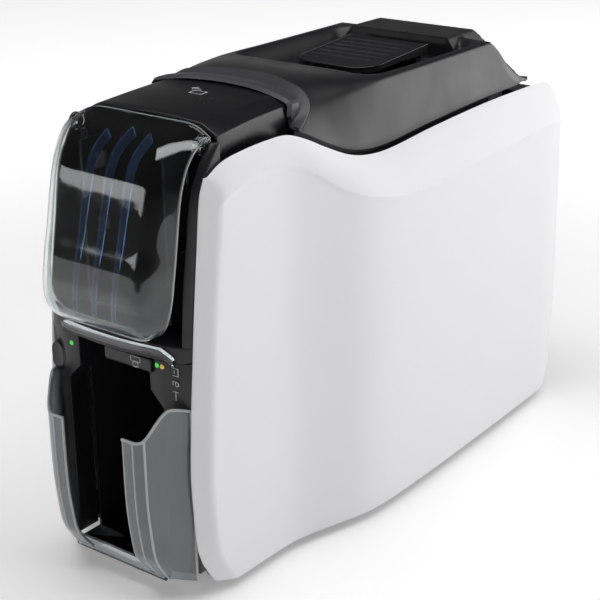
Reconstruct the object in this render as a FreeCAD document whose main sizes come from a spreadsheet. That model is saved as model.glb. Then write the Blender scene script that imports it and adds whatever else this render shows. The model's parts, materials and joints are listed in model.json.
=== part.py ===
import FreeCAD, Part
import math
import os

import Sketcher
from FreeCAD import Placement, Rotation, Vector

# Desktop ID card printer, front facing -Y, standing on z = 0 with its middle over the origin.
# All lengths are millimetres.

SIZES = {
    # Overall body
    "half_width": 79.5,
    "half_depth": 195.5,
    "overall_height": 269.0,
    "ground_gap": 6.3,
    "panel_wall": 2.5,
    "shell_wall": 2.2,
    "plate_wall": 1.5,
    "seat_gap": 0.3,
    "shaft_gap": 0.05,
    "overrun": 6.0,
    # White side panels
    "bevel_bulge": 2.4,
    "strip_width": 8.5,
    "strip_depth": 10.5,
    "panel_lap": 4.0,
    # Base tray and feet
    "tray_floor": 9.0,
    "tray_wall": 2.5,
    "tray_rim": 14.0,
    "tray_side_gap": 3.6,
    "pad_radius": 8.0,
    # Card, its path and the card hopper
    "card_width": 54.0,
    "card_length": 85.6,
    "card_side_gap": 0.8,
    "hopper_wall": 2.0,
    "hopper_slot": 1.3,
    "hopper_notch": 9.0,
    # Rollers and shafts, all lying along x
    "roller_radius": 8.0,
    "roller_end_gap": 14.0,
    "pick_half_length": 8.0,
    "pick_rise": 0.2,
    "shaft_radius": 3.0,
    "pinch_radius": 5.0,
    "cleaner_radius": 7.0,
    "thin_shaft_radius": 2.0,
    "bush_radius": 5.0,
    # Gears outside the right frame plate
    "gear_module": 1.0,
    "gear_thickness": 5.0,
    "pinion_radius": 8.0,
    "gear_gap": 1.5,
    # Steel frame plates
    "frame_rise": 38.0,
    # Motors
    "motor_half_side": 17.5,
    "motor_length": 28.0,
    "motor_shaft_radius": 2.5,
    "ribbon_motor_radius": 14.0,
    "ribbon_motor_length": 20.0,
    # Ribbon cassette
    "spool_rise": 22.0,
    "spool_radius": 6.0,
    "spool_flange_radius": 17.0,
    "spool_flange": 1.2,
    "full_roll_radius": 14.5,
    "part_roll_radius": 9.0,
    "ribbon_side_gap": 0.4,
    "cassette_gap": 8.0,
    "cassette_wall": 2.0,
    "film_thickness": 0.3,
    "winding_gear_radius": 14.0,
    "ribbon_pinion_radius": 7.0,
    "ribbon_gear_thickness": 3.0,
    # Print head group under the cover
    "head_gap": 0.9,
    "head_depth": 12.0,
    "head_height": 6.0,
    "sink_height": 18.0,
    "sink_fin": 1.2,
    "bracket_wall": 2.5,
    # Top cover
    "cover_seam": 3.0,
    "cover_front_wall": 3.0,
    "dish_slope": 10.0,
    "plateau_flare": 11.0,
    "plateau_lip": 2.0,
    "liner_wall": 2.0,
    "hinge_pin_radius": 3.0,
    "hinge_lug_radius": 6.5,
    "hinge_reach": 18.0,
    # Cover latch
    "latch_thickness": 3.2,
    "latch_corner": 15.0,
    "latch_groove": 1.0,
    "latch_rod_radius": 1.5,
    "latch_post": 2.5,
    "hook_width": 4.0,
    "hook_depth": 5.0,
    "hook_nose": 3.0,
    # Hopper cap
    "cap_gap": 0.8,
    # Hopper door, its pivots and fins
    "door_wall": 2.0,
    "door_gap": 0.5,
    "door_pivot_radius": 2.5,
    "door_boss_radius": 5.0,
    "fin_thickness": 1.2,
    "fin_depth": 5.0,
    "fin_spacing": 14.0,
    # Front bezel and trim
    "trim_height": 5.0,
    "trim_depth": 2.5,
    "trim_drop": 6.0,
    # Exit face and its mouth
    "exit_lintel": 2.6,
    "visor_thickness": 2.0,
    # Output chute and clear bin
    "chute_wall": 1.8,
    "chute_gap": 4.0,
    "bin_floor_gap": 0.5,
    "bin_wall": 2.0,
    # Power button and lights
    "button_half_width": 3.6,
    "button_half_height": 10.0,
    "button_proud": 0.8,
    "light_radius": 1.4,
    # Rear panel and sockets
    "socket_half_width": 6.0,
    "socket_half_height": 5.5,
    "socket_depth": 12.0,
    # Boards
    "board_thickness": 1.6,
    "board_stand": 8.0,
    # Screws
    "screw_head_radius": 3.0,
    "screw_head_height": 2.0,
}
# Places along the printer, as shares of its half depth.
DEPTH_SHARES = {
    "tray_front_y_share": -0.758,
    "foot_front_y_share": -0.71611,
    "foot_rear_y_share": 0.76726,
    "hopper_back_y_share": -0.37852,
    "pick_y_share": -0.59335,
    "cleaner_y_share": -0.31202,
    "feed_y_share": -0.2046,
    "supply_y_share": -0.06138,
    "platen_y_share": 0.18414,
    "takeup_y_share": 0.42967,
    "frame_front_y_share": -0.65473,
    "frame_tower_y_share": 0.47059,
    "frame_rear_y_share": 0.80818,
    "cover_front_y_share": -0.41944,
    "cover_rear_y_share": 0.8133,
    "dish_front_y_share": -0.06138,
    "dish_rear_y_share": 0.56266,
    "plateau_front_y_share": 0.50128,
    "plateau_rear_y_share": 0.67008,
    "hinge_y_share": 0.77749,
    "latch_front_y_share": 0.10742,
    "latch_rear_y_share": 0.44501,
    "door_pivot_y_share": -0.75192,
    "bezel_back_y_share": -0.72634,
    "exit_face_y_share": -0.89514,
    "exit_side_y_share": -0.86445,
    "exit_back_y_share": -0.81841,
    "chute_back_y_share": -0.50128,
    "rear_y_share": 0.94118,
}
# Places and reaches across the printer, as shares of its half width.
WIDTH_SHARES = {
    "strip_inner_x_share": 0.65409,
    "foot_x_share": 0.50314,
    "frame_x_share": 0.50314,
    "bezel_half_width_share": 0.64906,
    "bezel_opening_half_width_share": 0.58868,
    "trim_half_width_share": 0.45283,
    "mouth_half_width_share": 0.32704,
    "mouth_low_half_width_share": 0.44025,
    "visor_left_x_share": -0.05031,
    "visor_right_x_share": 0.36478,
    "chute_half_width_share": 0.41509,
    "bin_inner_x_share": 0.27673,
    "bin_corner_x_share": 0.43396,
    "bin_outer_x_share": 0.62893,
    "button_x_share": -0.53585,
    "cap_half_width_share": 0.59371,
    "cap_facet_half_width_share": 0.46541,
    "arch_half_width_share": 0.60629,
    "dish_half_width_share": 0.66667,
    "plateau_half_width_share": 0.45912,
    "liner_half_width_share": 0.62893,
    "latch_half_width_share": 0.37107,
    "hook_x_share": 0.27673,
    "rear_half_width_share": 0.81006,
    "power_socket_x_share": -0.45283,
    "usb_socket_x_share": -0.15094,
}
# Heights of places above the table, as shares of the overall height.
HEIGHT_SHARES = {
    "path_z_share": 0.58736,
    "hopper_top_share": 0.92193,
    "frame_tower_z_share": 0.86245,
    "dish_floor_z_share": 0.93866,
    "plateau_top_z_share": 0.99257,
    "liner_z_share": 0.91301,
    "latch_front_z_share": 0.96468,
    "latch_rear_z_share": 0.98141,
    "latch_pivot_z_share": 0.95353,
    "hook_low_z_share": 0.82156,
    "hinge_z_share": 0.83271,
    "cap_low_z_share": 0.89219,
    "door_pivot_z_share": 0.94275,
    "bezel_low_z_share": 0.5316,
    "bezel_sill_z_share": 0.5632,
    "trim_low_z_share": 0.54089,
    "exit_low_z_share": 0.06134,
    "mouth_chamfer_z_share": 0.46097,
    "visor_low_z_share": 0.5,
    "button_z_share": 0.46097,
    "bin_top_z_share": 0.37546,
    "bin_shoulder_z_share": 0.43494,
    "rear_low_z_share": 0.04461,
    "rear_top_z_share": 0.82528,
    "power_socket_z_share": 0.1487,
}


class Size:
    """A length that keeps its value together with the sheet formula it comes from."""

    def __init__(self, value, formula):
        self.value = float(value)
        self.formula = formula

    def __float__(self):
        return self.value

    def __add__(self, other):
        return Size(self.value + float(other), "(%s + %s)" % (self.formula, formula_of(other)))

    def __radd__(self, other):
        return self + other

    def __sub__(self, other):
        return Size(self.value - float(other), "(%s - %s)" % (self.formula, formula_of(other)))

    def __rsub__(self, other):
        return Size(float(other) - self.value, "(%s - %s)" % (formula_of(other), self.formula))

    def __mul__(self, factor):
        return Size(self.value * float(factor), "(%s * %s)" % (self.formula, formula_of(factor)))

    def __rmul__(self, factor):
        return self * factor

    def __truediv__(self, factor):
        return Size(self.value / float(factor), "(%s / %s)" % (self.formula, formula_of(factor)))

    def __neg__(self):
        return self * -1


def formula_of(item):
    return item.formula if isinstance(item, Size) else repr(item)


doc = FreeCAD.newDocument("CardPrinter")
sheet = doc.addObject("Spreadsheet::Sheet", "Sizes")
CELLS = [(alias, str(number)) for alias, number in SIZES.items()]
for shares, whole in ((DEPTH_SHARES, "half_depth"), (WIDTH_SHARES, "half_width"),
                      (HEIGHT_SHARES, "overall_height")):
    CELLS += [(name[:-len("_share")], "=%s * %r" % (whole, share)) for name, share in shares.items()]
for row, (alias, content) in enumerate(CELLS, 1):
    sheet.set("A%d" % row, alias)
    sheet.set("B%d" % row, content)
    sheet.setAlias("B%d" % row, alias)
doc.recompute()


class Dims:
    """The sheet's cells as sizes, one attribute for each alias."""


D = Dims()
for alias, content in CELLS:
    setattr(D, alias, Size(sheet.get(alias), "Sizes." + alias))
D.bin_low_z = D.tray_floor + D.tray_wall + D.bin_floor_gap
D.spool_z = D.path_z + D.spool_rise
D.frame_mid_z = D.path_z + D.frame_rise
D.gear_inner_x = D.frame_x + D.plate_wall + D.gear_gap
D.roller_half_length = D.frame_x - D.roller_end_gap
D.cassette_x = D.frame_x - D.cassette_gap
D.ribbon_half_width = D.card_width / 2 + D.ribbon_side_gap
D.head_half_width = D.ribbon_half_width - D.seat_gap
D.chute_top_z = D.path_z - D.roller_radius * 2 - D.chute_gap

ZERO = Size(0, "0")
NODES = {}


# Building helpers

def keep(name, item):
    item.Label = name
    NODES[name] = item
    return item


def bind(item, **sizes):
    for prop, size in sizes.items():
        item.setExpression(prop, size.formula)


def place(item, x, y, z):
    item.setExpression("Placement.Base.x", x.formula)
    item.setExpression("Placement.Base.y", y.formula)
    item.setExpression("Placement.Base.z", z.formula)


def box(name, x, y, z):
    """A block between the low and high ends given on each axis."""
    item = doc.addObject("Part::Box", name)
    bind(item, Length=x[1] - x[0], Width=y[1] - y[0], Height=z[1] - z[0])
    place(item, x[0], y[0], z[0])
    return item


AXIS_TURNS = {
    "x": Rotation(Vector(0, 1, 0), 90),
    "y": Rotation(Vector(1, 0, 0), -90),
    "z": Rotation(),
}


def rod(name, axis, start, length, radius):
    """A cylinder that starts at a point and runs along one axis."""
    item = doc.addObject("Part::Cylinder", name)
    item.Placement = Placement(Vector(0, 0, 0), AXIS_TURNS[axis])
    bind(item, Radius=radius, Height=length)
    place(item, *start)
    return item


def join(name, parts):
    item = doc.addObject("Part::MultiFuse", name)
    item.Shapes = parts
    return item


def group(name, parts):
    item = doc.addObject("Part::Compound", name)
    item.Links = parts
    return item


def cut(name, base, tools):
    item = doc.addObject("Part::Cut", name)
    item.Base = base
    item.Tool = tools[0] if len(tools) == 1 else join(name + "_cutters", tools)
    return item


def shaped(name, shape):
    item = doc.addObject("Part::Feature", name)
    item.Shape = shape
    return item


def origin_plane(body, role):
    return [plane for plane in body.Origin.OriginFeatures if plane.Role == role][0]


def outline_sketch(body, name, role, points):
    """A closed outline whose corners are all tied to the sheet."""
    sketch = body.newObject("Sketcher::SketchObject", name)
    sketch.AttachmentSupport = [(origin_plane(body, role), "")]
    sketch.MapMode = "FlatFace"
    corners = [Vector(float(across), float(up), 0) for across, up in points]
    for index, corner in enumerate(corners):
        following = corners[(index + 1) % len(corners)]
        sketch.addGeometry(Part.LineSegment(corner, following), False)
    for index in range(len(corners)):
        following = (index + 1) % len(corners)
        sketch.addConstraint(Sketcher.Constraint("Coincident", index, 2, following, 1))
    for index, (across, up) in enumerate(points):
        for kind, size in (("DistanceX", across), ("DistanceY", up)):
            link = Sketcher.Constraint(kind, -1, 1, index, 1, size.value)
            number = sketch.addConstraint(link)
            if size.formula != "0":
                sketch.setExpression("Constraints[%d]" % number, size.formula)
    return sketch


def turned(name, points, y, z):
    """A piece turned about a line along x, from its half outline of (x, radius) corners."""
    body = doc.addObject("PartDesign::Body", name)
    sketch = outline_sketch(body, name + "_outline", "XZ_Plane", points)
    revolution = body.newObject("PartDesign::Revolution", name + "_turned")
    revolution.Profile = sketch
    revolution.ReferenceAxis = (sketch, ["H_Axis"])
    revolution.Angle = 360
    place(body, ZERO, y, z)
    return body


def padded(name, role, points, length, x=ZERO, y=ZERO, z=ZERO, midplane=True):
    """A plate drawn on an origin plane and thickened."""
    body = doc.addObject("PartDesign::Body", name)
    sketch = outline_sketch(body, name + "_outline", role, points)
    pad = body.newObject("PartDesign::Pad", name + "_pad")
    pad.Profile = sketch
    pad.setExpression("Length", length.formula)
    pad.Midplane = midplane
    place(body, x, y, z)
    return body


def wire(points):
    corners = [Vector(*[float(value) for value in point]) for point in points]
    return Part.makePolygon(corners + [corners[0]])


def mirrored(shape):
    return shape.mirror(Vector(0, 0, 0), Vector(1, 0, 0))


def prism_x(points, half_width):
    """A YZ outline carried across the printer from one side to the other."""
    low = -float(half_width)
    face = Part.Face(wire([(low, y, z) for y, z in points]))
    return face.extrude(Vector(2 * float(half_width), 0, 0))


def block(x, y, z):
    low = [float(pair[0]) for pair in (x, y, z)]
    high = [float(pair[1]) for pair in (x, y, z)]
    return Part.makeBox(*[b - a for a, b in zip(low, high)], Vector(*low))


def along(table, y):
    """Reads a table of (place share, value share) rows at a place along the printer."""
    share = float(y) / float(D.half_depth)
    for (start, low), (end, high) in zip(table, table[1:]):
        if share <= end:
            return low + (high - low) * max(share - start, 0) / (end - start)
    return table[-1][1]


# White side panels

# Each row: place along y, outer face, crease height, seam edge x, seam edge height,
# as shares of the half depth, the half width, the height, the half width and the height.
PANEL_SHARES = [
    (-0.910, 0.755, 0.825, 0.667, 0.840),
    (-0.798, 0.758, 0.840, 0.667, 0.890),
    (-0.737, 0.762, 0.857, 0.667, 0.913),
    (-0.645, 0.767, 0.872, 0.679, 0.924),
    (-0.542, 0.774, 0.875, 0.698, 0.929),
    (-0.481, 0.790, 0.866, 0.717, 0.928),
    (-0.414, 0.830, 0.846, 0.748, 0.911),
    (-0.338, 0.887, 0.807, 0.786, 0.883),
    (-0.246, 0.956, 0.773, 0.818, 0.854),
    (-0.159, 0.989, 0.755, 0.830, 0.840),
    (-0.056, 1.000, 0.742, 0.836, 0.836),
    (0.174, 1.000, 0.740, 0.836, 0.846),
    (0.481, 0.987, 0.745, 0.836, 0.854),
    (0.737, 0.969, 0.751, 0.830, 0.853),
    (0.870, 0.956, 0.751, 0.824, 0.849),
    (0.941, 0.931, 0.743, 0.818, 0.840),
    (1.023, 0.893, 0.732, 0.805, 0.825),
]
FRONT_EDGE_SHARES = [
    (-0.783, 0.0), (-0.818, 0.037), (-0.849, 0.071), (-0.873, 0.115), (-0.887, 0.223), (-0.890, 0.309),
    (-0.872, 0.483), (-0.854, 0.632), (-0.834, 0.758), (-0.816, 0.859), (-0.793, 0.900),
]
REAR_EDGE_SHARES = [
    (0.920, 0.850), (0.949, 0.822), (0.959, 0.788), (0.967, 0.747), (0.977, 0.669), (0.992, 0.446),
    (1.000, 0.253), (0.987, 0.149), (0.964, 0.074), (0.941, 0.041), (0.900, 0.0),
]
SEAM_X_SHARES = [(row[0], row[3]) for row in PANEL_SHARES]
SEAM_Z_SHARES = [(row[0], row[4]) for row in PANEL_SHARES]
OUTER_X_SHARES = [(row[0], row[1]) for row in PANEL_SHARES]


def seam_x(y):
    return along(SEAM_X_SHARES, y) * D.half_width.value


def seam_z(y):
    return along(SEAM_Z_SHARES, y) * D.overall_height.value


def outer_x(y):
    return along(OUTER_X_SHARES, y) * D.half_width.value


def panel_loft(inset, lap):
    """The panel's outside, or the same form drawn in by its wall, as one smooth loft."""
    sections = []
    for place_share, outer_share, crease_share, edge_x_share, edge_z_share in PANEL_SHARES:
        y = place_share * D.half_depth.value
        outer = outer_share * D.half_width.value - inset
        crease = crease_share * D.overall_height.value - inset / 2
        edge_x = edge_x_share * D.half_width.value - lap
        edge_z = edge_z_share * D.overall_height.value - inset * 0.8
        low = D.ground_gap.value + inset
        middle = Vector((outer + edge_x) / 2 + D.bevel_bulge.value, y,
                        (crease + edge_z) / 2 + D.bevel_bulge.value)
        bevel = Part.Arc(Vector(outer, y, crease), middle, Vector(edge_x, y, edge_z)).toShape()
        corners = [Vector(edge_x, y, edge_z), Vector(edge_x, y, low),
                   Vector(outer, y, low), Vector(outer, y, crease)]
        straight = [Part.makeLine(a, b) for a, b in zip(corners, corners[1:])]
        sections.append(Part.Wire(straight + [bevel]))
    return Part.makeLoft(sections, True, False)


def panel_side_form(inset):
    """The side view's outline, whose front edge leans back towards the outer side."""
    wires = []
    for x in (D.strip_inner_x.value - 3 * D.strip_width.value, D.half_width.value + D.strip_width.value):
        lean = (x - D.strip_inner_x.value) * D.strip_depth.value / D.strip_width.value
        front = []
        for y_share, z_share in FRONT_EDGE_SHARES:
            z = max(z_share * D.overall_height.value, D.ground_gap.value) + inset * (1 - z_share)
            front.append(Vector(x, y_share * D.half_depth.value + lean + inset * 1.6, z))
        rear = []
        for y_share, z_share in REAR_EDGE_SHARES:
            z = max(z_share * D.overall_height.value, D.ground_gap.value) + inset * (1 - z_share)
            rear.append(Vector(x, y_share * D.half_depth.value - inset, z))
        top = D.overall_height.value
        front_curve = Part.BSplineCurve()
        front_curve.interpolate(front)
        rear_curve = Part.BSplineCurve()
        rear_curve.interpolate(rear)
        front_top = Vector(x, front[-1].y, top)
        rear_top = Vector(x, rear[0].y, top)
        wires.append(Part.Wire([
            front_curve.toShape(),
            Part.makeLine(front[-1], front_top),
            Part.makeLine(front_top, rear_top),
            Part.makeLine(rear_top, rear[0]),
            rear_curve.toShape(),
            Part.makeLine(rear[-1], front[0]),
        ]))
    return Part.makeLoft(wires, True, True)


def make_side_panels():
    outside = panel_loft(0, 0).common(panel_side_form(0))
    wall = D.panel_wall.value
    inside = panel_loft(wall, D.panel_lap.value).common(panel_side_form(wall))
    right = outside.cut(inside)
    keep("right_side_panel", shaped("right_side_panel", right))
    keep("left_side_panel", shaped("left_side_panel", mirrored(right)))


# Base tray and feet

TRAY_PLACE_SHARES = [-0.542, -0.414, -0.246, -0.056, 0.481, 0.875]


def tray_outline(z, inset):
    """The tray follows the panels' outer faces, then narrows to pass between their rear edges."""
    front = D.tray_front_y.value + inset
    gap = D.tray_side_gap.value + inset
    right = [(outer_x(front) - gap * 2, front, z)]
    for share in TRAY_PLACE_SHARES:
        y = share * D.half_depth.value
        right.append((outer_x(y) - gap, y, z))
    neck = D.rear_half_width.value - inset
    rear = D.rear_y.value - D.shell_wall.value - D.seat_gap.value - inset
    right += [(neck, y + D.tray_wall.value - inset, z), (neck, rear, z)]
    left = [(-x, y, z_here) for x, y, z_here in reversed(right)]
    return wire(right + left)


def make_base():
    floor = D.tray_floor.value
    rim = Vector(0, 0, D.tray_rim.value)
    outside = Part.Face(tray_outline(floor, 0)).extrude(rim)
    hollow = Part.Face(tray_outline(floor + D.tray_wall.value, D.tray_wall.value)).extrude(rim)
    tray = outside.cut(hollow)
    front_room = block((-D.bin_outer_x, D.bin_outer_x),
                       (-D.half_depth, D.tray_front_y + D.tray_wall + D.seat_gap),
                       (D.tray_floor + D.tray_wall, D.tray_floor + D.tray_rim + D.overrun))
    keep("base_tray", shaped("base_tray", tray.cut(front_room)))
    feet = []
    for y in (D.foot_front_y, D.foot_rear_y):
        for side in (-1, 1):
            name = "foot_%d" % len(feet)
            feet.append(rod(name, "z", (D.foot_x * side, y, ZERO), D.tray_floor, D.pad_radius))
    keep("rubber_feet", group("rubber_feet", feet))


# Gears

def gear_shape(radius, thickness, bore, phase, x_start):
    """A spur gear lying along x; phase turns its first tooth away from the +y direction."""
    module = D.gear_module.value
    teeth = int(round(2 * radius / module))
    tip = radius + 0.8 * module
    root = radius - 1.1 * module
    step = 2 * math.pi / teeth
    points = []
    for number in range(teeth):
        centre = phase + number * step
        for turn_share, reach in ((-0.30, root), (-0.11, tip), (0.11, tip), (0.30, root)):
            angle = centre + turn_share * step
            points.append((x_start, reach * math.cos(angle), reach * math.sin(angle)))
    solid = Part.Face(wire(points)).extrude(Vector(thickness, 0, 0))
    hole = Part.makeCylinder(bore, thickness, Vector(x_start, 0, 0), Vector(1, 0, 0))
    return solid.cut(hole)


def meshing_phase(radius, phase, direction, next_radius):
    """The turn that sets a neighbour's tooth space over this gear's tooth."""
    teeth = round(2 * radius / D.gear_module.value)
    next_teeth = round(2 * next_radius / D.gear_module.value)
    own = (phase - direction) * teeth / (2 * math.pi)
    return direction + math.pi + (0.5 - own) * 2 * math.pi / next_teeth


def make_gear(name, y, z, radius, phase, thickness, x_start, bore):
    shape = gear_shape(float(radius), float(thickness), float(bore), phase, float(x_start))
    item = shaped(name, shape)
    place(item, ZERO, y, z)
    return keep(name, item)


ROLLER_Z = D.path_z - D.roller_radius
ROLLER_GEAR_RADIUS = D.roller_radius + 3 * D.gear_module
IDLER_RADIUS = (D.platen_y - D.feed_y) / 2 - ROLLER_GEAR_RADIUS
FRONT_IDLER_Y = (D.pick_y + D.feed_y) / 2
REAR_IDLER_Y = (D.feed_y + D.platen_y) / 2
MOTOR_Z = ROLLER_Z - IDLER_RADIUS - D.pinion_radius


def make_gear_train():
    bore = D.shaft_radius
    x_start = D.gear_inner_x
    pick_phase = 0.0
    radii = [float(ROLLER_GEAR_RADIUS), float(IDLER_RADIUS), float(ROLLER_GEAR_RADIUS),
             float(IDLER_RADIUS), float(ROLLER_GEAR_RADIUS)]
    names = ["pick_gear", "front_idler_gear", "feed_gear", "rear_idler_gear", "platen_gear"]
    places = [D.pick_y, FRONT_IDLER_Y, D.feed_y, REAR_IDLER_Y, D.platen_y]
    phases = [pick_phase]
    for radius, following in zip(radii, radii[1:]):
        phases.append(meshing_phase(radius, phases[-1], 0.0, following))
    for name, y, radius, phase in zip(names, places, radii, phases):
        make_gear(name, y, ROLLER_Z, radius, phase, D.gear_thickness, x_start, bore)
    pinion_phase = meshing_phase(radii[3], phases[3], -math.pi / 2, float(D.pinion_radius))
    make_gear("motor_pinion", REAR_IDLER_Y, MOTOR_Z, D.pinion_radius, pinion_phase,
              D.gear_thickness, x_start, D.motor_shaft_radius + D.shaft_gap)


# Rollers

def make_roller(name, y, z, radius, half_length, shaft_radius):
    """A rubber sleeve round its shaft."""
    points = [(-half_length, shaft_radius), (half_length, shaft_radius),
              (half_length, radius), (-half_length, radius)]
    return keep(name, turned(name, points, y, z))


def make_shaft(name, y, z):
    """A steel shaft with a collar inside each frame plate, carrying a gear at its right end."""
    collar = D.frame_x - D.seat_gap
    collar_inner = collar - D.shaft_radius
    end = D.gear_inner_x + D.gear_thickness + D.plate_wall
    start = -D.frame_x - D.plate_wall * 2
    collar_radius = D.shaft_radius + D.plate_wall
    points = [
        (start, ZERO), (end, ZERO), (end, D.shaft_radius), (collar, D.shaft_radius),
        (collar, collar_radius), (collar_inner, collar_radius), (collar_inner, D.shaft_radius),
        (-collar_inner, D.shaft_radius), (-collar_inner, collar_radius), (-collar, collar_radius),
        (-collar, D.shaft_radius), (start, D.shaft_radius),
    ]
    return keep(name, turned(name, points, y, z))


PINCH_Z = D.path_z + D.seat_gap + D.pinch_radius
CLEANER_Z = D.path_z + D.seat_gap * 2 + D.cleaner_radius


def make_rollers():
    for name, y in (("pick", D.pick_y), ("feed", D.feed_y), ("platen", D.platen_y)):
        make_shaft(name + "_shaft", y, ROLLER_Z)
    pick_radius = D.roller_radius + D.pick_rise
    make_roller("pick_roller", D.pick_y, ROLLER_Z, pick_radius, D.pick_half_length, D.shaft_radius)
    for name, y in (("feed_roller", D.feed_y), ("platen_roller", D.platen_y)):
        make_roller(name, y, ROLLER_Z, D.roller_radius, D.roller_half_length, D.shaft_radius)
    for name, y, z, radius in (("pinch_roller", D.feed_y, PINCH_Z, D.pinch_radius),
                               ("cleaning_roller", D.cleaner_y, CLEANER_Z, D.cleaner_radius)):
        end = D.frame_x + D.plate_wall
        points = [
            (-end, ZERO), (end, ZERO), (end, D.thin_shaft_radius),
            (D.roller_half_length, D.thin_shaft_radius), (D.roller_half_length, radius),
            (-D.roller_half_length, radius), (-D.roller_half_length, D.thin_shaft_radius),
            (-end, D.thin_shaft_radius),
        ]
        keep(name, turned(name, points, y, z))


# Steel frame plates, bushings and the cross bar that the latch holds on to

def make_frame():
    low = D.tray_floor + D.tray_wall
    tower = D.frame_tower_y
    for side, name in ((-1, "left_frame_plate"), (1, "right_frame_plate")):
        points = [
            (D.frame_front_y, low), (D.frame_rear_y, low),
            (D.frame_rear_y, D.hinge_z + D.liner_wall), (D.hinge_y - D.liner_wall / 2, D.frame_tower_z),
            (tower, D.frame_tower_z), (tower - D.hook_depth * 2, D.frame_mid_z),
            (D.feed_y, D.frame_mid_z), (D.frame_front_y, ROLLER_Z + D.roller_radius),
        ]
        x = (D.frame_x + D.plate_wall / 2) * side
        plate = padded(name + "_blank", "YZ_Plane", points, D.plate_wall, x=x)
        start_x = D.frame_x * side - D.overrun
        length = D.overrun * 2
        holes = []
        for number, y in enumerate((D.pick_y, D.feed_y, D.platen_y)):
            start = (start_x, y, ROLLER_Z)
            holes.append(rod("%s_bush_hole_%d" % (name, number), "x", start, length, D.bush_radius))
        for number, (y, z) in enumerate(((D.feed_y, PINCH_Z), (D.cleaner_y, CLEANER_Z))):
            radius = D.thin_shaft_radius + D.shaft_gap
            holes.append(rod("%s_pin_hole_%d" % (name, number), "x", (start_x, y, z), length, radius))
        holes.append(rod(name + "_hinge_hole", "x", (start_x, D.hinge_y, D.hinge_z), length,
                         D.hinge_pin_radius))
        if side > 0:
            clear = D.motor_shaft_radius * 2
            holes.append(rod(name + "_motor_hole", "x", (start_x, REAR_IDLER_Y, MOTOR_Z), length, clear))
            holes.append(rod(name + "_ribbon_hole", "x", (start_x, RIBBON_MOTOR_Y, RIBBON_MOTOR_Z),
                             length, clear))
        open_plate = cut(name + "_open", plate, holes)
        studs = []
        if side > 0:
            for number, y in enumerate((FRONT_IDLER_Y, REAR_IDLER_Y)):
                end = D.gear_inner_x + D.gear_thickness + D.plate_wall
                studs.append(rod("idler_stud_%d" % number, "x", (D.frame_x, y, ROLLER_Z),
                                 end - D.frame_x, D.shaft_radius - D.shaft_gap))
        keep(name, join(name, [open_plate] + studs) if studs else open_plate)
    bushes = []
    for side in (-1, 1):
        for y in (D.pick_y, D.feed_y, D.platen_y):
            number = len(bushes)
            start = ((D.frame_x * side) if side > 0 else (-D.frame_x - D.plate_wall), y, ROLLER_Z)
            outer = rod("bush_outer_%d" % number, "x", start, D.plate_wall, D.bush_radius)
            bore = rod("bush_bore_%d" % number, "x", (start[0] - D.overrun, y, ROLLER_Z),
                       D.overrun * 3, D.shaft_radius + D.shaft_gap)
            bushes.append(cut("bush_%d" % number, outer, [bore]))
    keep("shaft_bushings", group("shaft_bushings", bushes))
    nose_end = D.latch_rear_y + D.hook_nose
    keep("latch_bar", box("latch_bar", (-D.frame_x, D.frame_x),
                          (nose_end + D.seat_gap * 3, nose_end + D.seat_gap * 3 + D.hook_depth),
                          (D.hook_low_z + D.hook_depth, D.frame_tower_z - D.plate_wall)))


# Motors

RIBBON_MOTOR_Y = D.takeup_y + D.ribbon_pinion_radius * 2
RIBBON_DROP_SHARE = 0.745
RIBBON_MOTOR_Z = D.spool_z - (D.winding_gear_radius + D.ribbon_pinion_radius) * RIBBON_DROP_SHARE


def make_motors():
    side = D.motor_half_side
    can = box("card_motor_can", (D.frame_x - D.motor_length, D.frame_x),
              (REAR_IDLER_Y - side, REAR_IDLER_Y + side), (MOTOR_Z - side, MOTOR_Z + side))
    spindle = rod("card_motor_spindle", "x", (D.frame_x, REAR_IDLER_Y, MOTOR_Z),
                  D.gear_inner_x - D.frame_x + D.gear_thickness + D.plate_wall, D.motor_shaft_radius)
    keep("card_motor", join("card_motor", [can, spindle]))


# Ribbon cassette, spools and film

def spool_points(flange_x):
    core = D.spool_radius
    flange = D.spool_flange_radius
    inner = flange_x - D.spool_flange
    start = D.cassette_x + D.cassette_wall
    end = start + D.seat_gap + D.ribbon_gear_thickness
    pin = D.shaft_radius
    return [
        (-start, ZERO), (end, ZERO), (end, pin), (flange_x, pin), (flange_x, flange), (inner, flange),
        (inner, core), (-inner, core), (-inner, flange), (-flange_x, flange), (-flange_x, pin), (-start, pin),
    ]


def make_ribbon():
    flange_x = D.cassette_x - D.seat_gap * 2
    for name, y in (("supply_spool", D.supply_y), ("takeup_spool", D.takeup_y)):
        keep(name, turned(name, spool_points(flange_x), y, D.spool_z))
    half = D.ribbon_half_width
    for name, y, radius in (("supply_ribbon", D.supply_y, D.full_roll_radius),
                            ("takeup_ribbon", D.takeup_y, D.part_roll_radius)):
        points = [(-half, D.spool_radius), (half, D.spool_radius), (half, radius), (-half, radius)]
        keep(name, turned(name, points, y, D.spool_z))


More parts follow.
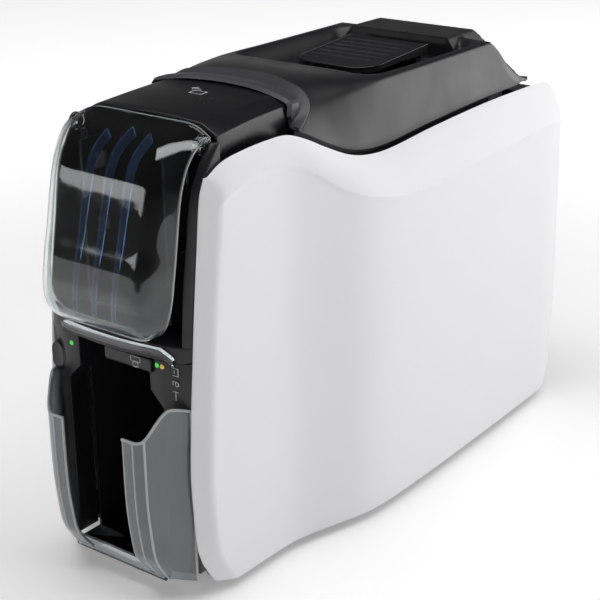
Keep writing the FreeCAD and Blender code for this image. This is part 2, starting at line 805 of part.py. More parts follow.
def make_cassette():
    wall = D.cassette_wall
    inner = D.cassette_x
    reach = D.spool_flange_radius + wall
    low = D.path_z + D.hopper_wall + D.roller_radius
    parts = []
    for side in (-1, 1):
        points = [
            (D.supply_y - reach, D.spool_z - reach / 2), (D.supply_y - reach / 2, low),
            (D.takeup_y + reach / 2, low), (D.takeup_y + reach, D.spool_z - reach / 2),
            (D.takeup_y + reach, D.spool_z + reach / 3), (D.takeup_y + reach / 2, D.spool_z + reach / 2),
            (D.takeup_y - reach, D.spool_z + reach / 4), (D.supply_y + reach, D.spool_z + reach / 4),
            (D.supply_y - reach / 2, D.spool_z + reach / 2), (D.supply_y - reach, D.spool_z + reach / 3),
        ]
        x = (inner + wall / 2) * side
        plate = padded("cassette_plate_%d" % (side + 1), "YZ_Plane", points, wall, x=x)
        holes = []
        for number, y in enumerate((D.supply_y, D.takeup_y)):
            start = (inner * side - D.overrun, y, D.spool_z)
            holes.append(rod("cassette_hole_%d_%d" % (side + 1, number), "x", start, D.overrun * 2,
                             D.shaft_radius + D.shaft_gap))
        parts.append(cut("cassette_side_%d" % (side + 1), plate, holes))
    for number, y in enumerate((D.supply_y - reach, D.takeup_y + reach - wall)):
        parts.append(box("cassette_bar_%d" % number, (-inner, inner), (y, y + wall),
                         (D.spool_z - reach / 2, D.spool_z + reach / 3)))
    keep("cassette_frame", join("cassette_frame", parts))


def make_film():
    """The film comes off the full spool, passes under the print head and winds on behind it."""
    thick = D.film_thickness.value
    half = D.ribbon_half_width.value
    low = D.path_z.value + D.head_gap.value - D.seat_gap.value - thick
    supply = Vector(0, D.supply_y.value, D.spool_z.value)
    takeup = Vector(0, D.takeup_y.value, D.spool_z.value)
    head_front = D.platen_y.value - D.head_depth.value / 2
    head_rear = D.platen_y.value + D.head_depth.value / 2
    front_angle = math.radians(-100)
    rear_angle = math.radians(-75)
    gap = D.seat_gap.value + thick
    start = supply + Vector(0, math.cos(front_angle), math.sin(front_angle)) * (
        D.full_roll_radius.value + gap)
    end = takeup + Vector(0, math.cos(rear_angle), math.sin(rear_angle)) * (D.part_roll_radius.value + gap)
    top = [(start.y, start.z), (head_front, low + thick), (head_rear, low + thick), (end.y, end.z)]
    bottom = [(y, z - thick) for y, z in reversed(top)]
    keep("ribbon_film", shaped("ribbon_film", prism_x(top + bottom, half)))


def make_ribbon_drive():
    x_start = D.cassette_x + D.cassette_wall + D.seat_gap
    gear_radius = float(D.winding_gear_radius)
    make_gear("takeup_gear", D.takeup_y, D.spool_z, gear_radius, 0.0, D.ribbon_gear_thickness,
              x_start, D.shaft_radius)
    direction = math.atan2(float(RIBBON_MOTOR_Z - D.spool_z), float(RIBBON_MOTOR_Y - D.takeup_y))
    phase = meshing_phase(gear_radius, 0.0, direction, float(D.ribbon_pinion_radius))
    make_gear("ribbon_pinion", RIBBON_MOTOR_Y, RIBBON_MOTOR_Z, D.ribbon_pinion_radius, phase,
              D.ribbon_gear_thickness, x_start, D.thin_shaft_radius + D.shaft_gap)
    plate_outer = D.frame_x + D.plate_wall
    can = rod("ribbon_motor_can", "x", (plate_outer, RIBBON_MOTOR_Y, RIBBON_MOTOR_Z),
              D.ribbon_motor_length, D.ribbon_motor_radius)
    spindle = rod("ribbon_motor_spindle", "x", (x_start, RIBBON_MOTOR_Y, RIBBON_MOTOR_Z),
                  plate_outer - x_start, D.thin_shaft_radius)
    keep("ribbon_motor", join("ribbon_motor", [can, spindle]))


# Card path guide under the ribbon

def make_card_guide():
    half = D.card_width / 2 + D.card_side_gap
    rail = D.hopper_wall
    top = D.path_z - D.seat_gap
    front = D.hopper_back_y + D.hopper_wall * 2
    rear = D.takeup_y + D.card_length / 2
    bed = box("guide_bed", (-half - rail, half + rail), (front, rear), (top - rail, top))
    rail_top = PINCH_Z - D.thin_shaft_radius - D.seat_gap
    rails = [box("guide_rail_%d" % number, (x, x + rail), (front, D.takeup_y), (top - rail, rail_top))
             for number, x in enumerate((-half - rail, half))]
    slots = []
    reach = D.roller_radius + D.seat_gap * 2
    for number, y in enumerate((D.feed_y, D.platen_y)):
        slots.append(box("guide_slot_%d" % number,
                         (-D.roller_half_length - D.seat_gap, D.roller_half_length + D.seat_gap),
                         (y - reach, y + reach), (top - D.overrun, top + rail / 4)))
    bed_open = cut("guide_bed_open", bed, slots)
    wing = D.frame_x - half - rail
    feet = []
    for number, x in enumerate((-D.frame_x, half + rail)):
        for place_number, y in enumerate((D.feed_y + D.roller_radius * 2, D.takeup_y)):
            feet.append(box("guide_lug_%d_%d" % (number, place_number), (x, x + wing),
                            (y, y + D.roller_radius), (top - rail, top)))
    keep("card_guide", join("card_guide", [bed_open] + rails + feet))


# Card hopper behind the clear door

# Each notch: its places behind the front and below the top, as shares of a notch.
NOTCH_PLACE_SHARES = [(1, 2), (2, 4), (1, 6)]


def make_card_hopper():
    half = D.card_width / 2 + D.card_side_gap
    wall = D.hopper_wall
    back = D.hopper_back_y
    low = D.path_z - wall
    length = D.card_length + D.card_side_gap
    front = back - length
    floor = box("hopper_floor", (-half - wall, half + wall), (front, back + wall), (low, D.path_z))
    slot_reach = D.roller_radius + D.seat_gap * 2
    slot = box("hopper_roller_slot", (-D.pick_half_length - D.seat_gap, D.pick_half_length + D.seat_gap),
               (D.pick_y - slot_reach, D.pick_y + slot_reach), (low - D.overrun, D.path_z + D.overrun))
    walls = []
    for number, x in enumerate((-half - wall, half)):
        walls.append(box("hopper_side_%d" % number, (x, x + wall), (front, back + wall),
                         (low, D.hopper_top)))
    rear = box("hopper_rear", (-half - wall, half + wall), (back, back + wall),
               (D.path_z + D.hopper_slot, D.hopper_top))
    notches = []
    for row, (back_share, drop_share) in enumerate(NOTCH_PLACE_SHARES):
        z = D.hopper_top - D.hopper_notch * drop_share
        y = front + D.hopper_notch * back_share
        notches.append(box("hopper_notch_%d" % row, (-half - wall - D.overrun, half + wall + D.overrun),
                           (y, y + D.hopper_notch), (z, z + D.hopper_notch)))
    bay = join("hopper_bay", [floor, rear] + walls)
    ears = []
    for number, x in enumerate((-D.bezel_half_width + D.seat_gap * 3, half + wall)):
        width = D.bezel_half_width - D.seat_gap * 3 - half - wall
        ears.append(box("hopper_ear_%d" % number, (x, x + width), (back - wall * 4, back - wall * 3),
                        (D.path_z + D.hopper_notch * 3, D.cap_low_z)))
    keep("card_hopper", join("card_hopper", [cut("hopper_open", bay, [slot] + notches)] + ears))


# Front bezel, trim strip, hopper cap and hopper door

# Each row: height, the front of the middle and of the side of the bezel, as shares.
BEZEL_SHARES = [
    (0.517, -0.912, -0.858), (0.600, -0.904, -0.852), (0.670, -0.893, -0.846),
    (0.760, -0.872, -0.830), (0.860, -0.845, -0.806), (0.915, -0.800, -0.772), (0.950, -0.748, -0.738),
]
# Each row of the door: front height, front y, front half width, rim height, rim y, rim half width.
DOOR_SHARES = [
    (0.570, -0.925, 0.380, 0.580, -0.903, 0.425),
    (0.588, -0.958, 0.425, 0.600, -0.905, 0.510),
    (0.622, -0.978, 0.445, 0.645, -0.904, 0.562),
    (0.706, -0.962, 0.447, 0.706, -0.894, 0.579),
    (0.762, -0.941, 0.447, 0.762, -0.880, 0.579),
    (0.836, -0.917, 0.447, 0.840, -0.862, 0.579),
    (0.894, -0.893, 0.447, 0.885, -0.845, 0.579),
    (0.929, -0.862, 0.447, 0.918, -0.822, 0.579),
    (0.955, -0.812, 0.450, 0.944, -0.789, 0.582),
    (0.973, -0.742, 0.455, 0.957, -0.748, 0.587),
    (0.981, -0.716, 0.460, 0.959, -0.722, 0.590),
]
# Each row of the cap: y, top height at the middle, facet edge height, ridge height.
CAP_SHARES = [
    (-0.714, 0.983, 0.977, 0.957), (-0.560, 0.987, 0.983, 0.968), (-0.385, 0.989, 0.986, 0.974),
]


BEZEL_KNEE_SHARE = 0.88
BEZEL_BOW_SHARE = 0.45


def bezel_form(half_width, shift):
    sections = []
    for z_share, middle_share, side_share in BEZEL_SHARES:
        z = z_share * D.overall_height.value
        middle = middle_share * D.half_depth.value + shift
        side = side_share * D.half_depth.value + shift
        knee = half_width * BEZEL_KNEE_SHARE
        knee_y = middle + (side - middle) * BEZEL_BOW_SHARE
        back = D.bezel_back_y.value + D.overrun.value * 3
        sections.append(wire([
            (half_width, back, z), (half_width, side, z), (knee, knee_y, z),
            (0, middle, z), (-knee, knee_y, z), (-half_width, side, z),
            (-half_width, back, z),
        ]))
    return Part.makeLoft(sections, True, True)


def make_bezel():
    outside = bezel_form(D.bezel_half_width.value, 0)
    back_limit = block((-D.half_width, D.half_width), (-D.half_depth, D.bezel_back_y),
                       (D.bezel_low_z, D.overall_height))
    outside = outside.common(back_limit)
    opening_half = D.bezel_opening_half_width.value
    sill = D.bezel_sill_z.value
    shoulder = sill + D.overrun.value * 3
    corner = opening_half - D.overrun.value * 2
    top = D.overall_height.value
    front = -D.half_depth.value - D.overrun.value
    profile = wire([
        (corner, front, sill), (opening_half, front, shoulder), (opening_half, front, top),
        (-opening_half, front, top), (-opening_half, front, shoulder), (-corner, front, sill),
    ])
    opening = Part.Face(profile).extrude(Vector(0, D.half_depth.value, 0))
    wall = D.shell_wall.value
    hollow = bezel_form(D.bezel_half_width.value - wall, wall).common(block(
        (-D.half_width, D.half_width), (-D.half_depth, ZERO),
        (D.bezel_low_z + D.shell_wall, D.bezel_sill_z - D.shell_wall)))
    bezel = outside.cut(opening).cut(hollow)
    for side in (-1, 1):
        ear = opening_half if side > 0 else -opening_half - D.shell_wall.value * 2
        pin = opening_half - D.fin_depth.value if side > 0 else -opening_half
        centre = (D.door_pivot_y.value, D.door_pivot_z.value)
        bezel = bezel.fuse(Part.makeCylinder(D.door_boss_radius.value, D.shell_wall.value * 2,
                                             Vector(ear, *centre), Vector(1, 0, 0)))
        bezel = bezel.fuse(Part.makeCylinder(D.door_pivot_radius.value, D.fin_depth.value,
                                             Vector(pin, *centre), Vector(1, 0, 0)))
    keep("front_bezel", shaped("front_bezel", bezel))


def make_trim():
    """A bowed clear strip under the bezel's sill, whose right end turns down."""
    gap = D.seat_gap.value
    strip_back = bezel_form(D.bezel_half_width.value, -gap)
    strip_front = bezel_form(D.bezel_half_width.value, -gap - D.trim_depth.value)
    low = D.trim_low_z.value
    high = low + D.trim_height.value
    half = D.trim_half_width.value
    drop = D.trim_drop.value
    front = -D.half_depth.value - D.overrun.value
    profile = wire([
        (-half + drop / 3, front, low), (half, front, low), (half + drop, front, low - drop),
        (half + drop * 1.6, front, low - drop / 2), (half + drop / 2, front, high),
        (-half + drop / 3, front, high), (-half, front, (low + high) / 2),
    ])
    band = Part.Face(profile).extrude(Vector(0, D.half_depth.value, 0))
    strip = strip_front.cut(strip_back).common(band)
    keep("trim_strip", shaped("trim_strip", strip))


def door_form(inset, rim_reach):
    """The door's outside, or the same form drawn in by its wall and run past its rim."""
    fronts = [(row[1] * D.half_depth.value, row[0] * D.overall_height.value) for row in DOOR_SHARES]
    rims = [(row[4] * D.half_depth.value, row[3] * D.overall_height.value) for row in DOOR_SHARES]
    sections = []
    for index, row in enumerate(DOOR_SHARES):
        before = fronts[max(index - 1, 0)]
        after = fronts[min(index + 1, len(fronts) - 1)]
        along_y = after[0] - before[0]
        along_z = after[1] - before[1]
        length = math.hypot(along_y, along_z)
        inward = (along_z / length, -along_y / length)
        front_y = fronts[index][0] + inset * inward[0]
        front_z = fronts[index][1] + inset * inward[1]
        rim_y = rims[index][0] + rim_reach * inward[0]
        rim_z = rims[index][1] + rim_reach * inward[1]
        front_half = row[2] * D.half_width.value - inset
        rim_half = row[5] * D.half_width.value - inset
        sections.append(wire([
            (-rim_half, rim_y, rim_z), (-front_half, front_y, front_z),
            (front_half, front_y, front_z), (rim_half, rim_y, rim_z),
        ]))
    return Part.makeLoft(sections, True, True)


def make_door():
    wall = D.door_wall.value
    outside = door_form(0, 0)
    inside = door_form(wall, D.overrun.value * 2)
    shell = outside.cut(inside)
    below = block((-D.half_width, D.half_width), (-D.half_depth - D.overrun, ZERO),
                  (ZERO, D.overall_height * DOOR_SHARES[0][0] + D.door_wall))
    shell = shell.fuse(outside.common(below))
    deep = door_form(wall + D.fin_depth.value, D.overrun.value * 3)
    core = door_form(wall, 0).cut(deep)
    fins = []
    for number in (-1, 0, 1):
        x = D.fin_spacing * number
        slab = block((x - D.fin_thickness / 2, x + D.fin_thickness / 2),
                     (-D.half_depth, D.door_pivot_y), (ZERO, D.door_pivot_z))
        fins.append(core.common(slab))
    door = shell.multiFuse(fins)
    centre_y = D.door_pivot_y.value
    centre_z = D.door_pivot_z.value
    boss_inner = D.bezel_opening_half_width.value - D.door_gap.value - D.fin_depth.value
    for side in (-1, 1):
        start = boss_inner if side > 0 else -boss_inner - D.fin_depth.value
        boss = Part.makeCylinder(D.door_boss_radius.value, D.fin_depth.value,
                                 Vector(start, centre_y, centre_z), Vector(1, 0, 0))
        bore = Part.makeCylinder(D.door_pivot_radius.value + D.shaft_gap.value, D.fin_depth.value,
                                 Vector(start, centre_y, centre_z), Vector(1, 0, 0))
        door = door.fuse(boss).cut(bore)
    keep("hopper_door", shaped("hopper_door", door))


def cap_form(drop, side_inset):
    sections = []
    for y_share, middle_share, facet_share, ridge_share in CAP_SHARES:
        y = y_share * D.half_depth.value
        middle = middle_share * D.overall_height.value - drop
        facet = facet_share * D.overall_height.value - drop
        ridge = ridge_share * D.overall_height.value - drop
        half = D.cap_half_width.value - side_inset
        facet_half = D.cap_facet_half_width.value - side_inset / 2
        low = D.cap_low_z.value - drop
        sections.append(wire([
            (half, y, low), (half, y, ridge), (facet_half, y, facet), (0, y, middle),
            (-facet_half, y, facet), (-half, y, ridge), (-half, y, low),
        ]))
    return Part.makeLoft(sections, True, True)


def make_cap():
    wall = D.shell_wall.value
    cap = cap_form(0, 0).cut(cap_form(wall, wall))
    rear_z_share, rear_y_share = DOOR_SHARES[-1][:2]
    edge_y = rear_y_share * D.half_depth.value - D.door_pivot_y.value
    edge_z = rear_z_share * D.overall_height.value - D.door_pivot_z.value
    reach = math.hypot(edge_y, edge_z) + D.door_wall.value
    sweep = Part.makeCylinder(reach, 2 * D.half_width.value,
                              Vector(-D.half_width.value, D.door_pivot_y.value, D.door_pivot_z.value),
                              Vector(1, 0, 0))
    keep("hopper_cap", shaped("hopper_cap", cap.cut(sweep)))


# Lower front: exit face, visor, chute, clear bin, button and lights

EXIT_SHOULDER_SHARE = 0.7


def exit_y(x):
    """The front of the lower face at a place across the printer."""
    shoulder = D.bezel_half_width.value * EXIT_SHOULDER_SHARE
    slope = (D.exit_side_y.value - D.exit_face_y.value) / (D.bezel_half_width.value - shoulder)
    return D.exit_face_y.value + slope * max(abs(x) - shoulder, 0)


def exit_blank(inset, low, top):
    """The lower front's solid block, whose face steps back to each side."""
    back = D.exit_back_y.value + (D.overrun.value if inset else 0)
    side = D.exit_side_y.value + inset
    face_y = D.exit_face_y.value + inset
    half = D.bezel_half_width.value - inset
    shoulder = D.bezel_half_width.value * EXIT_SHOULDER_SHARE
    plan = wire([
        (half, back, low), (half, side, low), (shoulder, face_y, low), (-shoulder, face_y, low),
        (-half, side, low), (-half, back, low),
    ])
    return Part.Face(plan).extrude(Vector(0, 0, top - low))


def mouth_form(grow):
    """The tall opening that cards drop through, wider below its chamfers."""
    mouth = D.mouth_half_width.value + grow
    wide = D.mouth_low_half_width.value + grow
    knee = D.mouth_chamfer_z.value - grow / 2
    front = -D.half_depth.value
    top = D.bezel_low_z.value + D.overrun.value
    profile = wire([
        (-wide, front, ZERO), (wide, front, ZERO), (wide, front, knee - (wide - mouth)),
        (mouth, front, knee), (mouth, front, top), (-mouth, front, top),
        (-mouth, front, knee), (-wide, front, knee - (wide - mouth)),
    ])
    return Part.Face(profile).extrude(Vector(0, D.half_depth.value, 0))


def make_exit_face():
    wall = D.shell_wall.value
    top = D.bezel_low_z.value - D.seat_gap.value
    low = D.exit_low_z.value
    face = exit_blank(0, low, top).cut(mouth_form(0))
    face = face.cut(exit_blank(wall, low + wall, top - wall).cut(mouth_form(wall)))
    lintel = block((-D.mouth_half_width - D.shell_wall, D.mouth_half_width + D.shell_wall),
                   (D.exit_back_y - D.shell_wall, D.exit_back_y),
                   (D.bezel_low_z - D.seat_gap - D.exit_lintel, D.bezel_low_z - D.seat_gap))
    face = face.fuse(lintel)
    face = face.cut(button_form(D.seat_gap.value, D.overrun.value * 2, D.overrun.value))
    for x, z in light_places():
        face = face.cut(Part.makeCylinder(D.light_radius.value + D.shaft_gap.value, D.overrun.value * 6,
                                          Vector(x, -D.half_depth.value, z), Vector(0, 1, 0)))
    keep("exit_bezel", shaped("exit_bezel", face))
    keep("exit_visor", box("exit_visor", (D.visor_left_x, D.visor_right_x),
                           (D.exit_face_y - D.seat_gap - D.visor_thickness, D.exit_face_y - D.seat_gap / 3),
                           (D.visor_low_z, D.bezel_low_z - D.seat_gap)))


def button_form(grow, reach_back, reach_front):
    """The tall six-sided button, drawn on the exit face."""
    half = D.button_half_width.value + grow
    tall = D.button_half_height.value + grow
    shoulder = tall - half * 0.9
    x = D.button_x.value
    z = D.button_z.value
    start = button_face_y() - reach_front
    profile = wire([
        (x - half, start, z - shoulder), (x, start, z - tall), (x + half, start, z - shoulder),
        (x + half, start, z + shoulder), (x, start, z + tall), (x - half, start, z + shoulder),
    ])
    return Part.Face(profile).extrude(Vector(0, reach_front + reach_back, 0))


def button_face_y():
    """The button stands a little proud of the face where the face slopes past it."""
    return exit_y(D.button_x.value + D.button_half_width.value) - D.button_proud.value


def light_places():
    low = D.bezel_low_z.value
    left = -D.mouth_half_width.value - D.button_half_width.value * 1.5
    right = D.mouth_low_half_width.value
    step = D.light_radius.value * 2.6
    return [(left, low - step * 1.8), (right - step * 0.9, low - step), (right + step * 0.1, low - step)]


def make_controls():
    keep("power_button", shaped("power_button", button_form(0, D.visor_thickness.value * 4, 0)))
    depth = D.exit_back_y.value - D.exit_face_y.value
    lenses = []
    for x, z in light_places():
        lenses.append(Part.makeCylinder(D.light_radius.value, depth,
                                        Vector(x, D.exit_face_y.value, z), Vector(0, 1, 0)))
    keep("green_lights", shaped("green_lights", Part.makeCompound(lenses[:2])))
    keep("amber_light", shaped("amber_light", lenses[2]))
    board_y = D.exit_back_y + D.seat_gap
    half = D.mouth_low_half_width + D.seat_gap * 2
    board_parts = []
    for number, x in enumerate((-D.bezel_half_width + D.seat_gap * 2, half)):
        width = D.bezel_half_width - D.seat_gap * 2 - half
        board_parts.append(box("light_board_%d" % number, (x, x + width),
                               (board_y, board_y + D.board_thickness),
                               (D.button_z - D.button_half_height, D.bezel_low_z)))
    keep("light_board", group("light_board", board_parts))


def make_chute():
    half = D.chute_half_width
    wall = D.chute_wall
    front = D.exit_back_y + D.seat_gap
    back = D.chute_back_y
    low = D.bin_low_z
    top = D.chute_top_z
    outer = box("chute_outer", (-half - wall, half + wall), (front, back), (low, top))
    inner = box("chute_inner", (-half, half), (front - D.overrun, back - wall), (low + wall, top - wall))
    slot = box("chute_slot", (-D.card_width / 2 - D.card_side_gap, D.card_width / 2 + D.card_side_gap),
               (back - D.overrun, back + D.overrun),
               (top - wall * 4, top - wall * 2))
    keep("output_chute", cut("output_chute", outer, [inner, slot]))


# Each row: height share of the wing and how far its front draws back, as a share of its depth.
BIN_RISE_SHARES = [
    (0.0, 0.62), (0.05, 0.46), (0.10, 0.33), (0.17, 0.20), (0.28, 0.12), (0.55, 0.02), (1.0, 0.0),
]


def wing_form():
    """The right wing as one thin wall: front return, sloped side and a flange back to the body."""
    wall = D.bin_wall.value
    low = D.bin_low_z.value
    rise = D.bin_shoulder_z.value - low
    depth = D.exit_side_y.value + D.half_depth.value
    inner = D.bin_inner_x.value
    corner = D.bin_corner_x.value
    outer = D.bin_outer_x.value
    root = exit_y(outer) - D.seat_gap.value
    root_inner = exit_y(outer - wall) - D.seat_gap.value
    sections = []
    for rise_share, back_share in BIN_RISE_SHARES:
        z = low + rise * rise_share
        front = -D.half_depth.value + depth * back_share
        sections.append(wire([
            (inner, front, z), (corner, front, z), (outer, root, z), (outer - wall, root_inner, z),
            (corner - wall / 2, front + wall, z), (inner, front + wall, z),
        ]))
    return Part.makeLoft(sections, True, True)


def make_bin():
    wall = D.bin_wall.value
    front = -D.half_depth.value
    back = D.exit_side_y.value
    top = D.bin_top_z.value
    shoulder = D.bin_shoulder_z.value
    spare = D.overrun.value
    above = prism_x([
        (front - spare, top), (front + wall * 2, top), (D.exit_face_y.value - wall, shoulder - wall / 2),
        (back + spare, shoulder - wall / 2), (back + spare, shoulder + spare),
        (front - spare, shoulder + spare),
    ], D.half_width)
    wing = wing_form().cut(above)
    step = D.exit_side_y.value + D.half_depth.value
    toe = front + step * BIN_RISE_SHARES[0][1]
    tongue = block((-D.bin_corner_x, D.bin_corner_x), (toe, D.exit_face_y - D.seat_gap),
                   (D.bin_low_z, D.bin_low_z + D.bin_wall))
    stem_half = D.chute_half_width - D.seat_gap
    sole_low = D.bin_low_z + D.chute_wall + D.seat_gap
    riser = block((-stem_half, stem_half),
                  (D.exit_face_y - D.seat_gap - D.bin_wall, D.exit_face_y - D.seat_gap),
                  (D.bin_low_z, sole_low + D.bin_wall))
    sole = block((-stem_half, stem_half),
                 (D.exit_face_y - D.seat_gap - D.bin_wall, D.chute_back_y - D.chute_wall * 2),
                 (sole_low, sole_low + D.bin_wall))
    whole = wing.multiFuse([mirrored(wing), tongue, riser, sole])
    keep("output_bin", shaped("output_bin", whole))


# Top cover and what it carries

LATCH_PIVOT_Y = D.latch_rear_y - D.hook_depth / 2

# Each row: y, side foot x, crest x, crest height and middle height as shares.
COVER_SHARES = [
    (-0.440, 0.713, 0.690, 0.955, 0.997), (-0.358, 0.758, 0.705, 0.960, 1.0),
    (-0.266, 0.793, 0.715, 0.970, 1.0), (-0.174, 0.812, 0.722, 0.979, 0.996),
    (-0.061, 0.820, 0.730, 0.982, 0.988), (0.153, 0.823, 0.730, 0.981, 0.983),
    (0.460, 0.823, 0.730, 0.981, 0.983), (0.665, 0.817, 0.733, 0.981, 0.983),
    (0.850, 0.806, 0.736, 0.979, 0.982),
]
COVER_SHOULDER_SHARE = 0.83
COVER_ROUND_SHARE = 0.24
COVER_FACE_SHARE = 0.965
DISH_RIM_SHARE = 0.981
COVER_TOP_SHARES = [
    (-0.384, 0.990), (-0.250, 1.0), (0.568, 1.0), (0.640, 0.970), (0.700, 0.935), (0.755, 0.900),
    (0.813, 0.866),
]


def cover_form(inset):
    sections = []
    for y_share, foot_share, crest_share, crest_z_share, middle_share in COVER_SHARES:
        y = y_share * D.half_depth.value
        foot = foot_share * D.half_width.value - inset
        foot_z = seam_z(y) + D.cover_seam.value - inset * 3
        crest = crest_share * D.half_width.value - inset * 0.9
        crest_z = crest_z_share * D.overall_height.value - inset
        middle_z = middle_share * D.overall_height.value - inset
        bulge = D.bevel_bulge.value * 0.8
        right = Part.Arc(Vector(foot, y, foot_z),
                         Vector((foot + crest) / 2 + bulge, y, (foot_z + crest_z) / 2),
                         Vector(crest, y, crest_z)).toShape()
        shoulder = crest * COVER_SHOULDER_SHARE
        shoulder_z = middle_z - (middle_z - crest_z) * COVER_ROUND_SHARE
        curve = Part.BSplineCurve()
        curve.interpolate([Vector(crest, y, crest_z), Vector(shoulder, y, shoulder_z),
                           Vector(0, y, middle_z), Vector(-shoulder, y, shoulder_z),
                           Vector(-crest, y, crest_z)])
        top = curve.toShape()
        left = Part.Arc(Vector(-crest, y, crest_z),
                        Vector(-(foot + crest) / 2 - bulge, y, (foot_z + crest_z) / 2),
                        Vector(-foot, y, foot_z)).toShape()
        bottom = Part.makeLine(Vector(-foot, y, foot_z), Vector(foot, y, foot_z))
        sections.append(Part.Wire([right, top, left, bottom]))
    return Part.makeLoft(sections, True, False)


# Right half of the band round the cover's front opening, inner edge then outer edge, as shares.
ARCH_POINT_SHARES = [
    (0.606, -0.414, 0.929, 0.700, -0.425, 0.925), (0.606, -0.414, 0.976, 0.717, -0.404, 0.959),
    (0.503, -0.404, 0.984, 0.667, -0.363, 0.980), (0.377, -0.399, 0.989, 0.560, -0.322, 0.993),
    (0.0, -0.384, 0.993, 0.0, -0.246, 1.0),
]


def front_band_cutters():
    """Slabs that slope the cover's front back from its opening to its crown."""
    right = []
    for x0, y0, z0, x1, y1, z1 in ARCH_POINT_SHARES:
        inner = Vector(x0 * D.half_width.value, y0 * D.half_depth.value, z0 * D.overall_height.value)
        outer = Vector(x1 * D.half_width.value, y1 * D.half_depth.value, z1 * D.overall_height.value)
        right.append((inner - (outer - inner) * 0.4, outer + (outer - inner) * 0.6))
    left = [(Vector(-a.x, a.y, a.z), Vector(-b.x, b.y, b.z)) for a, b in reversed(right[:-1])]
    points = right + left
    inner_curve = Part.BSplineCurve()
    inner_curve.interpolate([a for a, b in points])
    outer_curve = Part.BSplineCurve()
    outer_curve.interpolate([b for a, b in points])
    band = Part.makeRuledSurface(inner_curve.toShape(), outer_curve.toShape())
    return [band.extrude(Vector(0, -D.half_depth.value / 3, 0))]


def cover_side_form(inset):
    front = D.cover_front_y.value + (D.cover_front_wall.value if inset else 0)
    rear = D.cover_rear_y.value - inset
    low = D.hinge_z.value - D.overrun.value * 3
    height = D.overall_height.value
    points = [(front, low), (front, height * COVER_FACE_SHARE - inset)]
    points += [(share * D.half_depth.value - inset, z_share * height - inset)
               for share, z_share in COVER_TOP_SHARES]
    points += [(rear, low)]
    return prism_x(points, D.half_width)


def dish_form(grow):
    """The sunken part of the cover's top that the latch lies in."""
    half = D.dish_half_width.value + grow
    front = D.dish_front_y.value - grow
    rear = D.dish_rear_y.value + grow
    floor = D.dish_floor_z.value - grow
    top = D.overall_height.value + D.overrun.value
    slope = D.dish_slope.value
    corner = slope * 1.5
    wires = []
    for z, draw in ((floor, slope), (D.overall_height.value * DISH_RIM_SHARE, 0), (top, -slope / 2)):
        x = half - draw
        y0 = front + draw
        y1 = rear - draw
        wires.append(wire([
            (x, y0 + corner, z), (x, y1 - corner, z), (x - corner, y1, z), (-x + corner, y1, z),
            (-x, y1 - corner, z), (-x, y0 + corner, z), (-x + corner, y0, z), (x - corner, y0, z),
        ]))
    return Part.makeLoft(wires, True, True)


def plateau_form(inset):
    half = D.plateau_half_width.value - inset
    flare = D.plateau_flare.value
    front = D.plateau_front_y.value + inset
    rear = D.plateau_rear_y.value - inset
    low = D.dish_floor_z.value - D.overrun.value
    top = D.plateau_top_z.value - inset
    lip = front - D.plateau_lip.value - inset
    base = wire([(-half - flare, lip, low), (half + flare, lip, low),
                 (half + flare, rear + flare, low), (-half - flare, rear + flare, low)])
    crown = wire([(-half, front, top), (half, front, top), (half, rear, top), (-half, rear, top)])
    return Part.makeLoft([base, crown], True, True)


def make_cover():
    wall = D.shell_wall.value
    outside = cover_form(0).common(cover_side_form(0))
    inside = cover_form(wall).common(cover_side_form(wall))
    outside = outside.cut(dish_form(0)).fuse(plateau_form(0).common(cover_side_form(0)))
    inside = inside.cut(dish_form(wall)).fuse(plateau_form(wall).common(cover_side_form(wall)))
    shell = outside.cut(inside)
    half = D.arch_half_width.value
    front = D.cover_front_y.value - D.overrun.value
    low = D.hinge_z.value
    gap = D.cap_gap.value
    middle, facet, ridge = [share * D.overall_height.value + gap for share in CAP_SHARES[-1][1:]]
    facet_half = D.cap_facet_half_width.value
    opening = Part.Face(wire([
        (half, front, low), (half, front, ridge), (facet_half, front, facet), (0, front, middle),
        (-facet_half, front, facet), (-half, front, ridge), (-half, front, low),
    ])).extrude(Vector(0, D.overrun.value * 3 + D.cover_front_wall.value, 0))
    shell = shell.cut(opening)
    for slab in front_band_cutters():
        shell = shell.cut(slab)
    slots = []
    for side in (-1, 1):
        x = D.hook_x.value * side
        reach = D.hook_width.value / 2 + D.seat_gap.value * 3
        slots.append(block((x - reach, x + reach),
                           (D.latch_rear_y - D.hook_depth * 2.6, D.latch_rear_y + D.seat_gap * 4),
                           (D.dish_floor_z - D.overrun, D.latch_front_z)))
    shell = shell.cut(Part.makeCompound(slots))
    for side in (-1, 1):
        for y in (D.dish_front_y.value + D.overrun.value * 3, D.takeup_y.value):
            x = (D.liner_half_width.value - D.overrun.value * 2.4) * side
            low = D.liner_z.value + D.liner_wall.value
            post = Part.makeCylinder(D.screw_head_radius.value, D.dish_floor_z.value - D.shell_wall.value / 2 - low,
                                     Vector(x, y, low))
            shell = shell.fuse(post)
        reach = D.latch_half_width.value - D.shell_wall.value
        start = reach - D.latch_post.value if side > 0 else -reach
        half_post = D.hook_depth.value / 2
        holder = block((start, start + D.latch_post), (LATCH_PIVOT_Y - half_post, LATCH_PIVOT_Y + half_post),
                       (D.dish_floor_z - D.shell_wall / 2, D.latch_pivot_z + D.latch_rod_radius))
        shell = shell.fuse(holder)
    bore = Part.makeCylinder(D.latch_rod_radius.value + D.shaft_gap.value, D.half_width.value,
                             Vector(-D.half_width.value / 2, LATCH_PIVOT_Y.value, D.latch_pivot_z.value),
                             Vector(1, 0, 0))
    keep("top_cover", shaped("top_cover", shell.cut(bore)))


